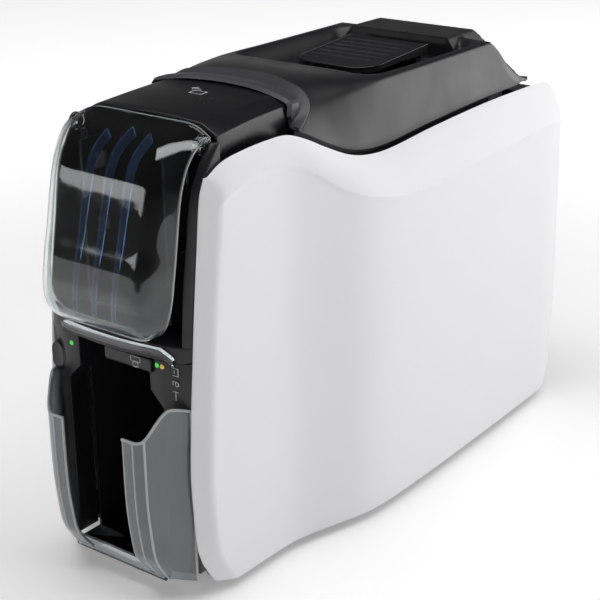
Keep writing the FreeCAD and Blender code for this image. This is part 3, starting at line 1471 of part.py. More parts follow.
def make_liner():
    low = D.liner_z
    high = D.liner_z + D.liner_wall
    deck = box("liner_deck", (-D.liner_half_width, D.liner_half_width),
               (D.feed_y, D.hinge_y - D.hinge_reach), (low, high))
    slots = []
    for side in (-1, 1):
        x = D.hook_x * side
        reach = D.hook_width / 2 + D.seat_gap * 3
        slots.append(box("liner_slot_%d" % (side + 1), (x - reach, x + reach),
                         (D.latch_rear_y - D.hook_depth * 3, D.latch_rear_y + D.hook_nose + D.seat_gap * 3),
                         (low - D.overrun, high + D.overrun)))
    open_deck = cut("liner_open_deck", deck, slots)
    lugs = []
    for side in (-1, 1):
        x = (D.frame_x - D.bracket_wall * 3) * side
        start = x - D.bracket_wall if side > 0 else x
        eye = rod("liner_eye_%d" % (side + 1), "x", (start, D.hinge_y, D.hinge_z),
                  D.bracket_wall, D.hinge_lug_radius)
        points = [
            (D.hinge_y - D.hinge_reach - D.overrun, high), (D.hinge_y - D.hinge_reach, high),
            (D.hinge_y - D.liner_wall, D.hinge_z + D.hinge_lug_radius * 1.1),
            (D.hinge_y + D.hinge_lug_radius * 0.7, D.hinge_z + D.hinge_lug_radius * 0.7),
            (D.hinge_y - D.hinge_lug_radius * 0.7, D.hinge_z - D.hinge_lug_radius * 0.7),
            (D.hinge_y - D.hinge_reach - D.overrun, low - D.overrun),
        ]
        arm = padded("liner_arm_%d" % (side + 1), "YZ_Plane", points, D.bracket_wall,
                     x=start + D.bracket_wall / 2)
        lugs += [eye, arm]
    blank = join("liner_blank", [open_deck] + lugs)
    bores = [rod("liner_pin_hole", "x", (-D.frame_x, D.hinge_y, D.hinge_z), D.frame_x * 2,
                 D.hinge_pin_radius + D.shaft_gap)]
    keep("cover_liner", cut("cover_liner", blank, bores))
    pins = []
    for side in (-1, 1):
        outer = D.frame_x + D.plate_wall + D.bracket_wall
        inner = D.frame_x - D.bracket_wall * 5
        start = inner if side > 0 else -outer
        pins.append(rod("hinge_pin_%d" % (side + 1), "x", (start, D.hinge_y, D.hinge_z),
                        outer - inner, D.hinge_pin_radius))
    keep("cover_hinge_pins", group("cover_hinge_pins", pins))


def make_hinge_brackets():
    plates = []
    for side in (-1, 1):
        start = D.frame_x + D.plate_wall if side > 0 else -D.frame_x - D.plate_wall - D.bracket_wall
        plate = box("hinge_plate_%d" % (side + 1), (start, start + D.bracket_wall),
                    (D.hinge_y - D.hinge_lug_radius * 2, D.hinge_y + D.hinge_pin_radius + D.bracket_wall),
                    (D.hinge_z - D.hinge_lug_radius * 3, D.hinge_z + D.hinge_pin_radius + D.bracket_wall))
        hole = rod("hinge_plate_hole_%d" % (side + 1), "x", (start - D.overrun, D.hinge_y, D.hinge_z),
                   D.overrun * 3, D.hinge_pin_radius)
        plates.append(cut("hinge_bracket_%d" % (side + 1), plate, [hole]))
    keep("cover_hinge_brackets", group("cover_hinge_brackets", plates))


SINK_GROOVE_SHARES = [0.125, 0.292, 0.458, 0.625]


def make_print_head():
    half = D.head_half_width
    low = D.path_z + D.head_gap
    front = D.platen_y - D.head_depth / 2
    back = D.platen_y + D.head_depth / 2
    keep("printhead", box("printhead", (-half, half), (front, back), (low, low + D.head_height)))
    sink_low = low + D.head_height
    body = box("sink_block", (-half, half), (front, back), (sink_low, sink_low + D.sink_height))
    grooves = []
    for number, share in enumerate(SINK_GROOVE_SHARES):
        y = front + D.head_depth * share
        grooves.append(box("sink_groove_%d" % number, (-half - D.overrun, half + D.overrun),
                           (y, y + D.sink_fin), (sink_low + D.sink_fin * 2, sink_low + D.sink_height * 2)))
    keep("heat_sink", cut("heat_sink", body, grooves))
    wall = D.bracket_wall
    plate = box("bracket_plate", (-half, half), (back, back + wall), (low + D.head_height / 2, D.liner_z))
    flange = box("bracket_flange", (-half, half), (back, back + wall * 5), (D.liner_z - wall, D.liner_z))
    keep("printhead_bracket", join("printhead_bracket", [plate, flange]))


LATCH_RIB_SHARES = [0.08, 0.23, 0.38, 0.53, 0.68, 0.83]


def make_latch():
    """The ribbed finger pad, thick at its lip, hung at its rear edge."""
    half = D.latch_half_width.value
    front = D.latch_front_y.value
    rear = D.latch_rear_y.value
    corner = D.latch_corner.value
    thick = D.latch_thickness.value
    slope = (D.latch_rear_z.value - D.latch_front_z.value) / (rear - front)
    plan = Part.Wire([
        Part.makeLine(Vector(half, rear, 0), Vector(half, front + corner, 0)),
        Part.Arc(Vector(half, front + corner, 0),
                 Vector(half - corner * 0.3, front + corner * 0.3, 0),
                 Vector(half - corner, front, 0)).toShape(),
        Part.makeLine(Vector(half - corner, front, 0), Vector(-half + corner, front, 0)),
        Part.Arc(Vector(-half + corner, front, 0),
                 Vector(-half + corner * 0.3, front + corner * 0.3, 0),
                 Vector(-half, front + corner, 0)).toShape(),
        Part.makeLine(Vector(-half, front + corner, 0), Vector(-half, rear, 0)),
        Part.makeLine(Vector(-half, rear, 0), Vector(half, rear, 0)),
    ])
    column = Part.Face(plan).extrude(Vector(0, 0, D.overall_height.value))
    groove = D.latch_groove.value
    top = []
    for share in LATCH_RIB_SHARES:
        y = front + corner + (rear - front - corner) * share
        z = D.latch_front_z.value + slope * (y - front)
        top += [(y - groove, z), (y, z - groove), (y + groove, z)]
    points = [(front - D.overrun.value, D.latch_front_z.value)] + top + [
        (rear, D.latch_rear_z.value), (rear, D.latch_rear_z.value - thick),
        (front - D.overrun.value, D.latch_front_z.value - thick)]
    pad = column.common(prism_x(points, D.half_width))
    keep("cover_latch", shaped("cover_latch", pad))
    hooks = []
    pad_low = D.latch_rear_z - D.latch_thickness - D.seat_gap
    for side in (-1, 1):
        x = D.hook_x * side
        wide = D.hook_width / 2
        arm = box("hook_arm_%d" % (side + 1), (x - wide, x + wide),
                  (D.latch_rear_y - D.hook_depth, D.latch_rear_y), (D.hook_low_z, pad_low - D.shaft_gap * 2))
        nose = box("hook_nose_%d" % (side + 1), (x - wide, x + wide),
                   (D.latch_rear_y, D.latch_rear_y + D.hook_nose),
                   (D.hook_low_z, D.hook_low_z + D.hook_depth))
        hooks += [arm, nose]
    reach = D.latch_half_width - D.shell_wall
    hooks.append(rod("latch_rod", "x", (-reach, LATCH_PIVOT_Y, D.latch_pivot_z), reach * 2,
                     D.latch_rod_radius))
    keep("latch_hooks", join("latch_hooks", hooks))


# Rear panel, sockets and boards

SOCKET_BORE_SHARE = 0.72
SOCKET_PIN_SHARE = 0.6


def make_rear():
    half = D.rear_half_width
    wall = D.shell_wall
    back = D.rear_y
    plate = box("rear_plate", (-half, half), (back - wall, back), (D.rear_low_z, D.rear_top_z))
    deck_front = D.cover_rear_y + D.overrun
    deck = box("rear_deck", (-half, half), (deck_front, back), (D.rear_top_z - wall, D.rear_top_z))
    holes = []
    for name, x in (("power", D.power_socket_x), ("usb", D.usb_socket_x)):
        holes.append(box("rear_%s_hole" % name,
                         (x - D.socket_half_width, x + D.socket_half_width),
                         (back - D.overrun, back + D.overrun),
                         (D.power_socket_z - D.socket_half_height, D.power_socket_z + D.socket_half_height)))
    blank = join("rear_blank", [plate, deck])
    keep("rear_panel", cut("rear_panel", blank, holes))
    bore = SOCKET_BORE_SHARE
    for name, x in (("power_socket", D.power_socket_x), ("usb_socket", D.usb_socket_x)):
        gap = D.seat_gap / 2
        body = box(name + "_body",
                   (x - D.socket_half_width + gap, x + D.socket_half_width - gap),
                   (back - D.socket_depth, back),
                   (D.power_socket_z - D.socket_half_height + gap,
                    D.power_socket_z + D.socket_half_height - gap))
        depth = D.socket_depth * SOCKET_BORE_SHARE
        if name == "power_socket":
            hollow = rod(name + "_hollow", "y", (x, back - depth, D.power_socket_z), depth * 2,
                         D.socket_half_height * bore)
            pin = rod(name + "_pin", "y", (x, back - D.socket_depth, D.power_socket_z),
                      D.socket_depth * SOCKET_PIN_SHARE, D.light_radius * SOCKET_BORE_SHARE)
            keep(name, join(name, [cut(name + "_shell", body, [hollow]), pin]))
        else:
            hollow = box(name + "_hollow",
                         (x - D.socket_half_width * bore, x + D.socket_half_width * bore),
                         (back - depth, back + depth),
                         (D.power_socket_z - D.socket_half_height * bore,
                          D.power_socket_z + D.socket_half_height * bore))
            keep(name, cut(name, body, [hollow]))
    board_y = back - D.socket_depth - D.seat_gap
    low = D.tray_floor + D.tray_wall + D.board_stand
    board = box("board_plate", (-D.frame_x + D.board_stand, D.frame_x - D.board_stand),
                (D.platen_y, board_y), (low, low + D.board_thickness))
    chips = [box("board_chip_%d" % number, (x, x + D.board_stand * 1.5), (y, y + D.board_stand * 2),
                 (low + D.board_thickness, low + D.board_thickness * 2))
             for number, (x, y) in enumerate(((-D.pad_radius, D.platen_y + D.board_stand * 3),
                                              (D.pad_radius, D.takeup_y)))]
    stands = [rod("board_stand_%d" % number, "z", (x, y, D.tray_floor + D.tray_wall), D.board_stand,
                  D.screw_head_radius)
              for number, (x, y) in enumerate(((-D.pad_radius * 3, D.platen_y + D.board_stand),
                                               (D.pad_radius * 3, D.platen_y + D.board_stand),
                                               (-D.pad_radius * 3, board_y - D.board_stand),
                                               (D.pad_radius * 3, board_y - D.board_stand)))]
    keep("main_board", join("main_board", [board] + chips + stands))


def make_screws():
    screws = []
    low = D.tray_floor - D.screw_head_height
    rear = (D.takeup_y + D.rear_y) / 2
    places = [(-D.foot_x / 2, D.feed_y), (D.foot_x / 2, D.feed_y), (-D.foot_x / 2, rear), (D.foot_x / 2, rear)]
    for number, (x, y) in enumerate(places):
        screws.append(rod("case_screw_%d" % number, "z", (x, y, low), D.screw_head_height,
                          D.screw_head_radius))
    keep("case_screws", group("case_screws", screws))


make_side_panels()
make_base()
make_gear_train()
make_rollers()
make_frame()
make_motors()
make_ribbon()
make_cassette()
make_film()
make_ribbon_drive()
make_card_guide()
make_card_hopper()
make_bezel()
make_trim()
make_door()
make_cap()
make_exit_face()
make_controls()
make_chute()
make_bin()
make_cover()
make_liner()
make_hinge_brackets()
make_print_head()
make_latch()
make_rear()
make_screws()

doc.recompute()


def check_and_write():
    problems = []
    for item in doc.Objects:
        if any(word in ("Invalid", "Error") for word in item.State):
            problems.append("%s is %s" % (item.Label, item.State))
    for name, item in NODES.items():
        if item.Shape.isNull() or not item.Shape.isValid() or not item.Shape.Solids:
            problems.append("%s has no sound solid" % name)
    if problems:
        raise RuntimeError("; ".join(problems))
    os.makedirs("parts", exist_ok=True)
    for name, item in NODES.items():
        item.Shape.exportStep("parts/%s.step" % name)
        box_here = item.Shape.BoundBox
        print("%-22s solids %d  volume %9.0f  x %7.1f %7.1f  y %7.1f %7.1f  z %6.1f %6.1f" % (
            name, len(item.Shape.Solids), item.Shape.Volume, box_here.XMin, box_here.XMax,
            box_here.YMin, box_here.YMax, box_here.ZMin, box_here.ZMax))
    print(len(NODES), "nodes")


check_and_write()
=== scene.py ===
"""Dresses the CAD frame of a desktop ID card printer, one operator for each piece or group of pieces."""

import json
import math

import bmesh
import bpy
from bpy.props import FloatProperty, FloatVectorProperty, PointerProperty
from mathutils import Matrix, Vector


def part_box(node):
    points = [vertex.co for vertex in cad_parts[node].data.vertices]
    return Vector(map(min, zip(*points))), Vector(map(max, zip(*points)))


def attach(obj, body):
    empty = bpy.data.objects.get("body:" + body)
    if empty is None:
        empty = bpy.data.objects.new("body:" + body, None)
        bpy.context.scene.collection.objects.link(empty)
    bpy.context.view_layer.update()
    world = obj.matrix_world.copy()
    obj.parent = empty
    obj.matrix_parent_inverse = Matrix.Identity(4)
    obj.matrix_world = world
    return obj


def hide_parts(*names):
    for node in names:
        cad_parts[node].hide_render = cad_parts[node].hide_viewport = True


bl_info = {
    "name": "ID card printer",
    "version": (1, 0, 0),
    "blender": (4, 5, 0),
    "location": "View3D > Sidebar > Card Printer",
    "description": "Builds the visible pieces of a desktop ID card printer round its CAD frame",
    "category": "Object",
}

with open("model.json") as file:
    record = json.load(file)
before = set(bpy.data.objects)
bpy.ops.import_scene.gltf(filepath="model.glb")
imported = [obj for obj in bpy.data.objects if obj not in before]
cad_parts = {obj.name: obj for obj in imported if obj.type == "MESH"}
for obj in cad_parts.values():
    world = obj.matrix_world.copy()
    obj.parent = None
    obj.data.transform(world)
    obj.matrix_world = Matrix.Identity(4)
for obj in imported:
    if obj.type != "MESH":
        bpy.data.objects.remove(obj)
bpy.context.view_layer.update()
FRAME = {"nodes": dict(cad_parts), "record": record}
MM = 0.001
# Rounds of a search for the place where two curves meet.
SOLVE_STEPS = 30
FINISHES = {}


def linear(code):
    """An sRGB hex colour as linear red, green and blue."""
    parts = [int(code[i:i + 2], 16) / 255 for i in (1, 3, 5)]
    return tuple(p / 12.92 if p <= 0.04045 else ((p + 0.055) / 1.055) ** 2.4 for p in parts)


# Sizes and colours that a user would change


class PrinterSizes(bpy.types.PropertyGroup):
    """Lengths of the dressed pieces, in metres."""

    shell_wall: FloatProperty(
        name="Shell wall", description="Thickness of the top cover and of the hopper's cap",
        default=2.2 * MM, min=0.5 * MM, unit="LENGTH")
    stroke: FloatProperty(
        name="Sign stroke", description="Half the width of the printed lines",
        default=0.26 * MM, min=0.05 * MM, unit="LENGTH")
    grain: FloatProperty(
        name="Plastic grain", description="Width of the texture on the moulded shells",
        default=0.9 * MM, min=0.1 * MM, unit="LENGTH")


class PrinterColours(bpy.types.PropertyGroup):
    """Colours of the finishes."""

    white: FloatVectorProperty(
        name="White plastic", description="Side panels", subtype="COLOR", default=linear("#F0F0F2"))
    black: FloatVectorProperty(
        name="Black plastic", description="Cover, bezel and base", subtype="COLOR",
        default=linear("#17181A"))
    smoke: FloatVectorProperty(
        name="Clear plastic", description="Hopper door, trim and bin", subtype="COLOR",
        default=linear("#DDE3E5"))


# Finishes, with their lengths in millimetres


def add_node(tree, kind, settings=None, inputs=None):
    """Adds one node, sets its own settings and fills its inputs with values or with other outputs."""
    node = tree.nodes.new(kind)
    for name, value in (settings or {}).items():
        setattr(node, name, value)
    for name, value in (inputs or {}).items():
        if isinstance(value, bpy.types.NodeSocket):
            tree.links.new(value, node.inputs[name])
        else:
            node.inputs[name].default_value = value
    return node


def four(colour, factor=1.0):
    """A colour with its tone changed, and an alpha of one."""
    return tuple(min(c * factor, 1.0) for c in colour) + (1.0,)


def blank_material(name):
    """A new material with its tree, its shader and its object coordinates."""
    material = bpy.data.materials.new(name)
    material.use_nodes = True
    tree = material.node_tree
    place = add_node(tree, "ShaderNodeTexCoord").outputs["Object"]
    return material, tree, tree.nodes["Principled BSDF"], place


def blank_finish(name, slot):
    """A new material that is kept as the finish of one of the slots."""
    FINISHES[slot], *parts = blank_material(name)
    return parts


def tint(tree, shader, mask, low, high):
    """Lets a mask run the base colour from one tone to another."""
    tone = add_node(tree, "ShaderNodeMix", {"data_type": "RGBA"}, {"Factor": mask, "A": low, "B": high})
    tree.links.new(tone.outputs["Result"], shader.inputs["Base Color"])


def sheen(tree, shader, mask, limits, low, high):
    """Lets a mask run the roughness between two values."""
    rough = add_node(tree, "ShaderNodeMapRange", None, {
        "Value": mask, "From Min": limits[0], "From Max": limits[1], "To Min": low, "To Max": high})
    tree.links.new(rough.outputs["Result"], shader.inputs["Roughness"])


def relief(tree, shader, mask, depth):
    """Lets a mask raise the surface by a depth."""
    bump = add_node(tree, "ShaderNodeBump", None, {"Height": mask, "Distance": depth * MM, "Strength": 1.0})
    tree.links.new(bump.outputs["Normal"], shader.inputs["Normal"])


def moulded(name, slot, colour, roughness, grain, depth, patch, spread=0.03, gloss=0.5):
    """Moulded plastic: a spark-eroded grain, with slow changes of tone and gloss from handling."""
    tree, shader, place = blank_finish(name, slot)
    cloud = add_node(tree, "ShaderNodeTexNoise", None, {
        "Vector": place, "Scale": 1 / (patch * MM), "Detail": 3.0, "Roughness": 0.55})
    tint(tree, shader, cloud.outputs["Fac"], four(colour, 1 - spread), four(colour, 1 + spread))
    handling = add_node(tree, "ShaderNodeTexNoise", None, {
        "Vector": place, "Scale": 1 / (patch * 0.4 * MM), "Detail": 4.0, "Roughness": 0.6})
    sheen(tree, shader, handling.outputs["Fac"], (0.3, 0.7), roughness * 0.88, roughness * 1.12)
    speckle = add_node(tree, "ShaderNodeTexNoise", None, {
        "Vector": place, "Scale": 1 / (grain * MM), "Detail": 2.0, "Roughness": 0.7})
    relief(tree, shader, speckle.outputs["Fac"], depth)
    shader.inputs["Specular IOR Level"].default_value = gloss
    shader.inputs["IOR"].default_value = 1.5
    return shader


def make_white_abs(white, grain):
    # ABS moulded in a finely spark-eroded tool: an even satin white without mirror reflections.
    # The real grain is 0.2 mm wide and is drawn coarser, so that it shows.
    moulded("white_abs_fine_satin_moulded", "white_abs", white, 0.5, grain, 0.012, 90, 0.012, 0.25)


def make_black_abs(black, grain):
    # ABS moulded in a textured tool: a grey sheen where light grazes it, near black elsewhere.
    moulded("black_abs_satin_moulded", "black_abs", black, 0.4, grain, 0.02, 60, 0.08)


def make_band_painted_reflection(grain):
    # The band round the hopper has a matt finish for a wider sheen, and its lighter grey is painted
    # reflection of the bright front.
    moulded("black_abs_matt_band", "cover_band", linear("#3A3B3F"), 0.46, grain, 0.01, 60, 0.05)


def make_cap_black(black, grain):
    # ABS from a smoother tool: a deeper black with blurred but clear reflections of the lights.
    deep = tuple(part * 0.85 for part in black)
    moulded("black_abs_smooth_moulded", "cap_black", deep, 0.3, grain * 2.5, 0.004, 50, 0.06)


def make_inner_black(grain):
    # Unlit inner mouldings with a coarse matt grain that swallows light.
    moulded("black_abs_matt_moulded", "inner_black", linear("#1B1C1E"), 0.55, grain * 1.3, 0.03, 40, 0.1)


def clear(name, slot, colour, rough_low, rough_high, transmission):
    """Clear plastic with slightly wavy walls and uneven gloss."""
    tree, shader, place = blank_finish(name, slot)
    wave = add_node(tree, "ShaderNodeTexNoise", None, {
        "Vector": place, "Scale": 1 / (22 * MM), "Detail": 1.0})
    relief(tree, shader, wave.outputs["Fac"], 0.07)
    haze = add_node(tree, "ShaderNodeTexNoise", None, {
        "Vector": place, "Scale": 1 / (9 * MM), "Detail": 5.0})
    sheen(tree, shader, haze.outputs["Fac"], (0.35, 0.75), rough_low, rough_high)
    tint(tree, shader, haze.outputs["Fac"], four(colour, 0.97), four(colour))
    shader.inputs["Transmission Weight"].default_value = transmission
    shader.inputs["IOR"].default_value = 1.58


def make_clear(smoke):
    # Polycarbonate moulded in a polished tool: sharp reflections, slightly wavy walls.
    clear("clear_polycarbonate_polished_mould", "clear_plastic", smoke, 0.02, 0.07, 1.0)
    # The same with a blue tint, as the thin fins show when seen on edge.
    clear("blue_tinted_polycarbonate_polished_mould", "fin_clear", linear("#7FA6E0"), 0.03, 0.09, 0.75)
    # Cut and moulded edges gather light, so they are drawn whiter than the walls.
    clear("clear_polycarbonate_bright_edge", "edge_clear", linear("#EEF3F6"), 0.03, 0.08, 0.5)
    # The bin's thicker walls scatter a little light, so they look smoky grey before a dark ground.
    clear("smoky_polycarbonate_satin_mould", "bin_clear", linear("#A9B0B6"), 0.06, 0.14, 0.66)


def make_ink():
    # Pad printed ink: flat pale grey with slightly uneven cover.
    moulded("pad_printed_ink", "ink", linear("#C9CBCD"), 0.6, 0.5, 0.01, 2, 0.08, 0.3)


def brushed(name, slot, colour, roughness, pitch, depth, stretch):
    """Metal with fine lines along one direction."""
    tree, shader, place = blank_finish(name, slot)
    turn = add_node(tree, "ShaderNodeMapping", None, {"Vector": place, "Scale": stretch})
    lines = add_node(tree, "ShaderNodeTexNoise", None, {
        "Vector": turn.outputs["Vector"], "Scale": 1 / (pitch * MM), "Detail": 3.0})
    tint(tree, shader, lines.outputs["Fac"], four(colour, 0.86), four(colour, 1.05))
    sheen(tree, shader, lines.outputs["Fac"], (0.0, 1.0), roughness * 0.75, roughness * 1.3)
    relief(tree, shader, lines.outputs["Fac"], depth)
    shader.inputs["Metallic"].default_value = 1.0


def make_metals():
    # Zinc plated sheet: a cool grey with rolling lines.
    brushed("steel_zinc_plated_rolled", "steel", linear("#B9BCC0"), 0.32, 1.2, 0.01, (1, 0.06, 1))
    # Extruded aluminium: lighter, lines along the extrusion.
    brushed("aluminium_extruded", "aluminium", linear("#CFD1D3"), 0.36, 0.9, 0.01, (0.05, 1, 1))
    # Sintered bronze: dull warm metal with open pores.
    brushed("bronze_sintered", "bronze", linear("#B08A50"), 0.5, 0.5, 0.02, (1, 1, 1))


def make_inner_finishes():
    # Ground rubber: dull, with a fine even tooth.
    moulded("rubber_ground", "rubber", linear("#2C2C2E"), 0.78, 0.7, 0.05, 12, 0.1, 0.3)
    # Tacky silicone: smooth and slightly shiny.
    moulded("silicone_rubber_cast", "blue_rubber", linear("#5C7FB4"), 0.4, 2, 0.02, 14, 0.05)
    # Moulded acetal: waxy off-white with soft gloss.
    moulded("acetal_moulded", "acetal", linear("#E4E1D6"), 0.34, 1.5, 0.01, 16, 0.03)
    # Solder mask over copper: green lacquer with a faint relief of tracks.
    moulded("circuit_board_lacquered", "board", linear("#1F5B38"), 0.3, 1.1, 0.04, 5, 0.25)
    # Dye film: thin coated polyester, glossy and dark red.
    moulded("polyester_film_coated", "film", linear("#5B1C30"), 0.18, 6, 0.05, 30, 0.1)
    # Painted motor cans: thin enamel with slight orange peel.
    moulded("steel_can_enamelled", "motor_case", linear("#54555A"), 0.35, 1.4, 0.03, 20, 0.05)


def make_light_pipes():
    # Light pipes: tinted acrylic that glows a little.
    for name, slot, code, glow in (("acrylic_green_light_pipe", "green_light", "#39C24A", 0.7),
                                   ("acrylic_amber_light_pipe", "amber_light", "#D9B23C", 0.3)):
        shader = moulded(name, slot, linear(code), 0.2, 0.8, 0.01, 2, 0.1)
        shader.inputs["Emission Color"].default_value = four(linear(code))
        shader.inputs["Emission Strength"].default_value = glow


class PRINTER_OT_finishes(bpy.types.Operator):
    """Makes every finish and gives each CAD node the one of its slot"""

    bl_idname = "printer.finishes"
    bl_label = "Finishes"

    def execute(self, context):
        colours, grain = context.scene.printer_colours, context.scene.printer_sizes.grain / MM
        make_white_abs(colours.white, grain)
        make_black_abs(colours.black, grain)
        make_band_painted_reflection(grain)
        make_cap_black(colours.black, grain)
        make_inner_black(grain)
        make_clear(colours.smoke)
        make_ink()
        make_metals()
        make_inner_finishes()
        make_light_pipes()
        for row in FRAME["record"]["subparts"]:
            if row["material_slot"] not in FINISHES:
                raise RuntimeError("no finish for slot " + row["material_slot"])
            for holder in FRAME["nodes"][row["node"]].material_slots:
                holder.material = FINISHES[row["material_slot"]]
        return {"FINISHED"}


# Driving sizes in millimetres, those of the CAD frame

HALF_WIDTH = 79.5
HALF_DEPTH = 195.5
HEIGHT = 269.0
GROUND_GAP = 6.3
STRIP_INNER_X = 52.0
# How far the side panel's front edge draws back for each millimetre outwards.
STRIP_LEAN_SHARE = 10.5 / 8.5
REAR_HALF_WIDTH = 64.4
BULGE = 0.9
DOOR_PIVOT = (-147.0, 253.6)

# Each row of the side panels: y, outer face, crease height, seam edge x, seam edge height. These and the
# tables below are shares of the half depth, the half width and the height, where they name nothing else.
PANEL_SHARES = (
    (-0.910, 0.755, 0.825, 0.667, 0.840), (-0.798, 0.758, 0.840, 0.667, 0.890),
    (-0.737, 0.762, 0.857, 0.667, 0.913), (-0.645, 0.767, 0.872, 0.679, 0.924),
    (-0.542, 0.774, 0.875, 0.698, 0.929), (-0.481, 0.790, 0.866, 0.717, 0.928),
    (-0.414, 0.830, 0.846, 0.748, 0.911), (-0.338, 0.887, 0.807, 0.786, 0.883),
    (-0.246, 0.956, 0.773, 0.818, 0.854), (-0.159, 0.989, 0.755, 0.830, 0.840),
    (-0.056, 1.000, 0.742, 0.836, 0.836), (0.174, 1.000, 0.740, 0.836, 0.846),
    (0.481, 0.987, 0.745, 0.836, 0.854), (0.737, 0.969, 0.751, 0.830, 0.853),
    (0.870, 0.956, 0.751, 0.824, 0.849), (0.941, 0.931, 0.743, 0.818, 0.840),
    (1.023, 0.893, 0.732, 0.805, 0.825),
)
# Each row: height and y of the side panels' front and rear edges.
FRONT_EDGE_SHARES = (
    (0.0, -0.783), (0.037, -0.818), (0.071, -0.849), (0.115, -0.873), (0.223, -0.887), (0.309, -0.890),
    (0.483, -0.872), (0.632, -0.854), (0.758, -0.834), (0.859, -0.816), (0.900, -0.793),
)
REAR_EDGE_SHARES = (
    (0.0, 0.900), (0.041, 0.941), (0.074, 0.964), (0.149, 0.987), (0.253, 1.0), (0.446, 0.992),
    (0.669, 0.977), (0.747, 0.967), (0.788, 0.959), (0.822, 0.949), (0.850, 0.920),
)
# Each row: y, side foot x, crest x, crest height and middle height of the top cover.
COVER_SHARES = (
    (-0.440, 0.713, 0.604, 0.979, 0.998), (-0.358, 0.758, 0.604, 0.981, 0.998),
    (-0.300, 0.780, 0.622, 0.981, 0.998), (-0.240, 0.799, 0.655, 0.981, 0.998),
    (-0.174, 0.812, 0.690, 0.981, 0.996), (-0.061, 0.820, 0.726, 0.982, 0.989),
    (0.153, 0.823, 0.730, 0.981, 0.983), (0.460, 0.823, 0.730, 0.981, 0.983),
    (0.665, 0.817, 0.733, 0.981, 0.983), (0.735, 0.806, 0.735, 0.980, 0.982),
    (0.762, 0.784, 0.736, 0.979, 0.982), (0.850, 0.778, 0.736, 0.979, 0.982),
)
# Each row: y and height of the cover's rear slope.
COVER_REAR_SHARES = (
    (0.530, 1.0), (0.590, 0.982), (0.632, 0.957), (0.668, 0.925), (0.725, 0.893), (0.813, 0.866),
)
# Right half of the band round the cover's front opening: inner x, y, z, then outer x, y, z.
ARCH_SHARES = (
    (0.606, -0.414, 0.929, 0.717, -0.430, 0.926), (0.606, -0.414, 0.955, 0.635, -0.353, 0.952),
    (0.606, -0.414, 0.974, 0.597, -0.327, 0.976), (0.530, -0.408, 0.982, 0.546, -0.317, 0.996),
    (0.377, -0.399, 0.989, 0.424, -0.303, 1.0), (0.190, -0.388, 0.992, 0.210, -0.269, 1.0),
    (0.0, -0.384, 0.993, 0.0, -0.258, 1.0),
)
ARCH_CENTRE_SHARE = 0.892
# Each row: height, the front of the middle and of the side of the bezel.
BEZEL_SHARES = (
    (0.532, -0.912, -0.858), (0.600, -0.904, -0.852), (0.670, -0.893, -0.846), (0.760, -0.872, -0.830),
    (0.860, -0.845, -0.806), (0.915, -0.800, -0.772), (0.950, -0.748, -0.738),
)
# Each row of the door: front height, front y, front half width, rim height, rim y, rim half width.
DOOR_SHARES = (
    (0.570, -0.925, 0.380, 0.580, -0.903, 0.425), (0.588, -0.958, 0.425, 0.600, -0.905, 0.510),
    (0.622, -0.978, 0.445, 0.645, -0.904, 0.562), (0.706, -0.962, 0.447, 0.706, -0.894, 0.579),
    (0.762, -0.941, 0.447, 0.762, -0.880, 0.579), (0.836, -0.917, 0.447, 0.840, -0.862, 0.579),
    (0.894, -0.893, 0.447, 0.885, -0.845, 0.579), (0.929, -0.862, 0.447, 0.918, -0.822, 0.579),
    (0.955, -0.812, 0.450, 0.944, -0.789, 0.582), (0.973, -0.742, 0.455, 0.957, -0.748, 0.587),
    (0.981, -0.716, 0.460, 0.959, -0.722, 0.590),
)
# Each row of the cap: y, top height at the middle, facet edge height, ridge height.
CAP_SHARES = (
    (-0.714, 0.983, 0.977, 0.957), (-0.560, 0.987, 0.983, 0.968), (-0.385, 0.989, 0.986, 0.974),
)
# Each row: height share of a bin wing and how far its front draws back, as a share of its depth.
BIN_RISE_SHARES = (
    (0.0, 0.62), (0.05, 0.46), (0.10, 0.33), (0.17, 0.20), (0.28, 0.12), (0.55, 0.02), (1.0, 0.0),
)


# Curves, outlines and forms, all in millimetres


def shares(count, start=0.0, end=1.0):
    """Even steps from start to end."""
    return [start + (end - start) * step / count for step in range(count + 1)]


def reader(pairs):
    """A smooth curve through (place, value) pairs, as a function of the place."""
    pairs = sorted(pairs)
    places = [pair[0] for pair in pairs]
    values = [pair[1] for pair in pairs]
    last = len(pairs) - 1
    slopes = []
    for index in range(last + 1):
        before, after = max(index - 1, 0), min(index + 1, last)
        slopes.append((values[after] - values[before]) / (places[after] - places[before]))

    def read(place):
        place = min(max(place, places[0]), places[-1])
        index = 0
        while index < last - 1 and places[index + 1] < place:
            index += 1
        span = places[index + 1] - places[index]
        t = (place - places[index]) / span
        share = 3 * t ** 2 - 2 * t ** 3
        rise = slopes[index] * (t ** 3 - 2 * t ** 2 + t) + slopes[index + 1] * (t ** 3 - t ** 2)
        return values[index] * (1 - share) + values[index + 1] * share + rise * span

    return read


def curves(table, *sizes):
    """Smooth curves of a table's other columns by its first; each column is a share of a size."""
    scaled = [[share * size for share, size in zip(row, sizes)] for row in table]
    return [reader([(row[0], row[index]) for row in scaled]) for index in range(1, len(sizes))]


def eased(t):
    """Zero to one with rounded ends."""
    t = min(max(t, 0.0), 1.0)
    return 0.5 * t + 0.5 * t * t * (3 - 2 * t)


def bent(start, corner, end, steps):
    """Points after the start of a curve that leaves towards a corner and arrives from it."""
    return [start * (1 - t) ** 2 + corner * 2 * t * (1 - t) + end * t ** 2 for t in shares(steps)[1:]]


def mirror(points):
    """The points of the other side, in reverse order."""
    return [Vector((-p.x, p.y, p.z)) for p in reversed(points)]


def rounded(corners, radius, steps=4):
    """An outline of 2-D corners with each corner turned by a curve."""
    points = []
    for index, corner in enumerate(corners):
        here = Vector(corner)
        before = Vector(corners[index - 1]) - here
        after = Vector(corners[(index + 1) % len(corners)]) - here
        reach = min(radius, before.length * 0.48, after.length * 0.48)
        start = here + before.normalized() * reach
        points += [start] + bent(start, here, here + after.normalized() * reach, steps)
    return points


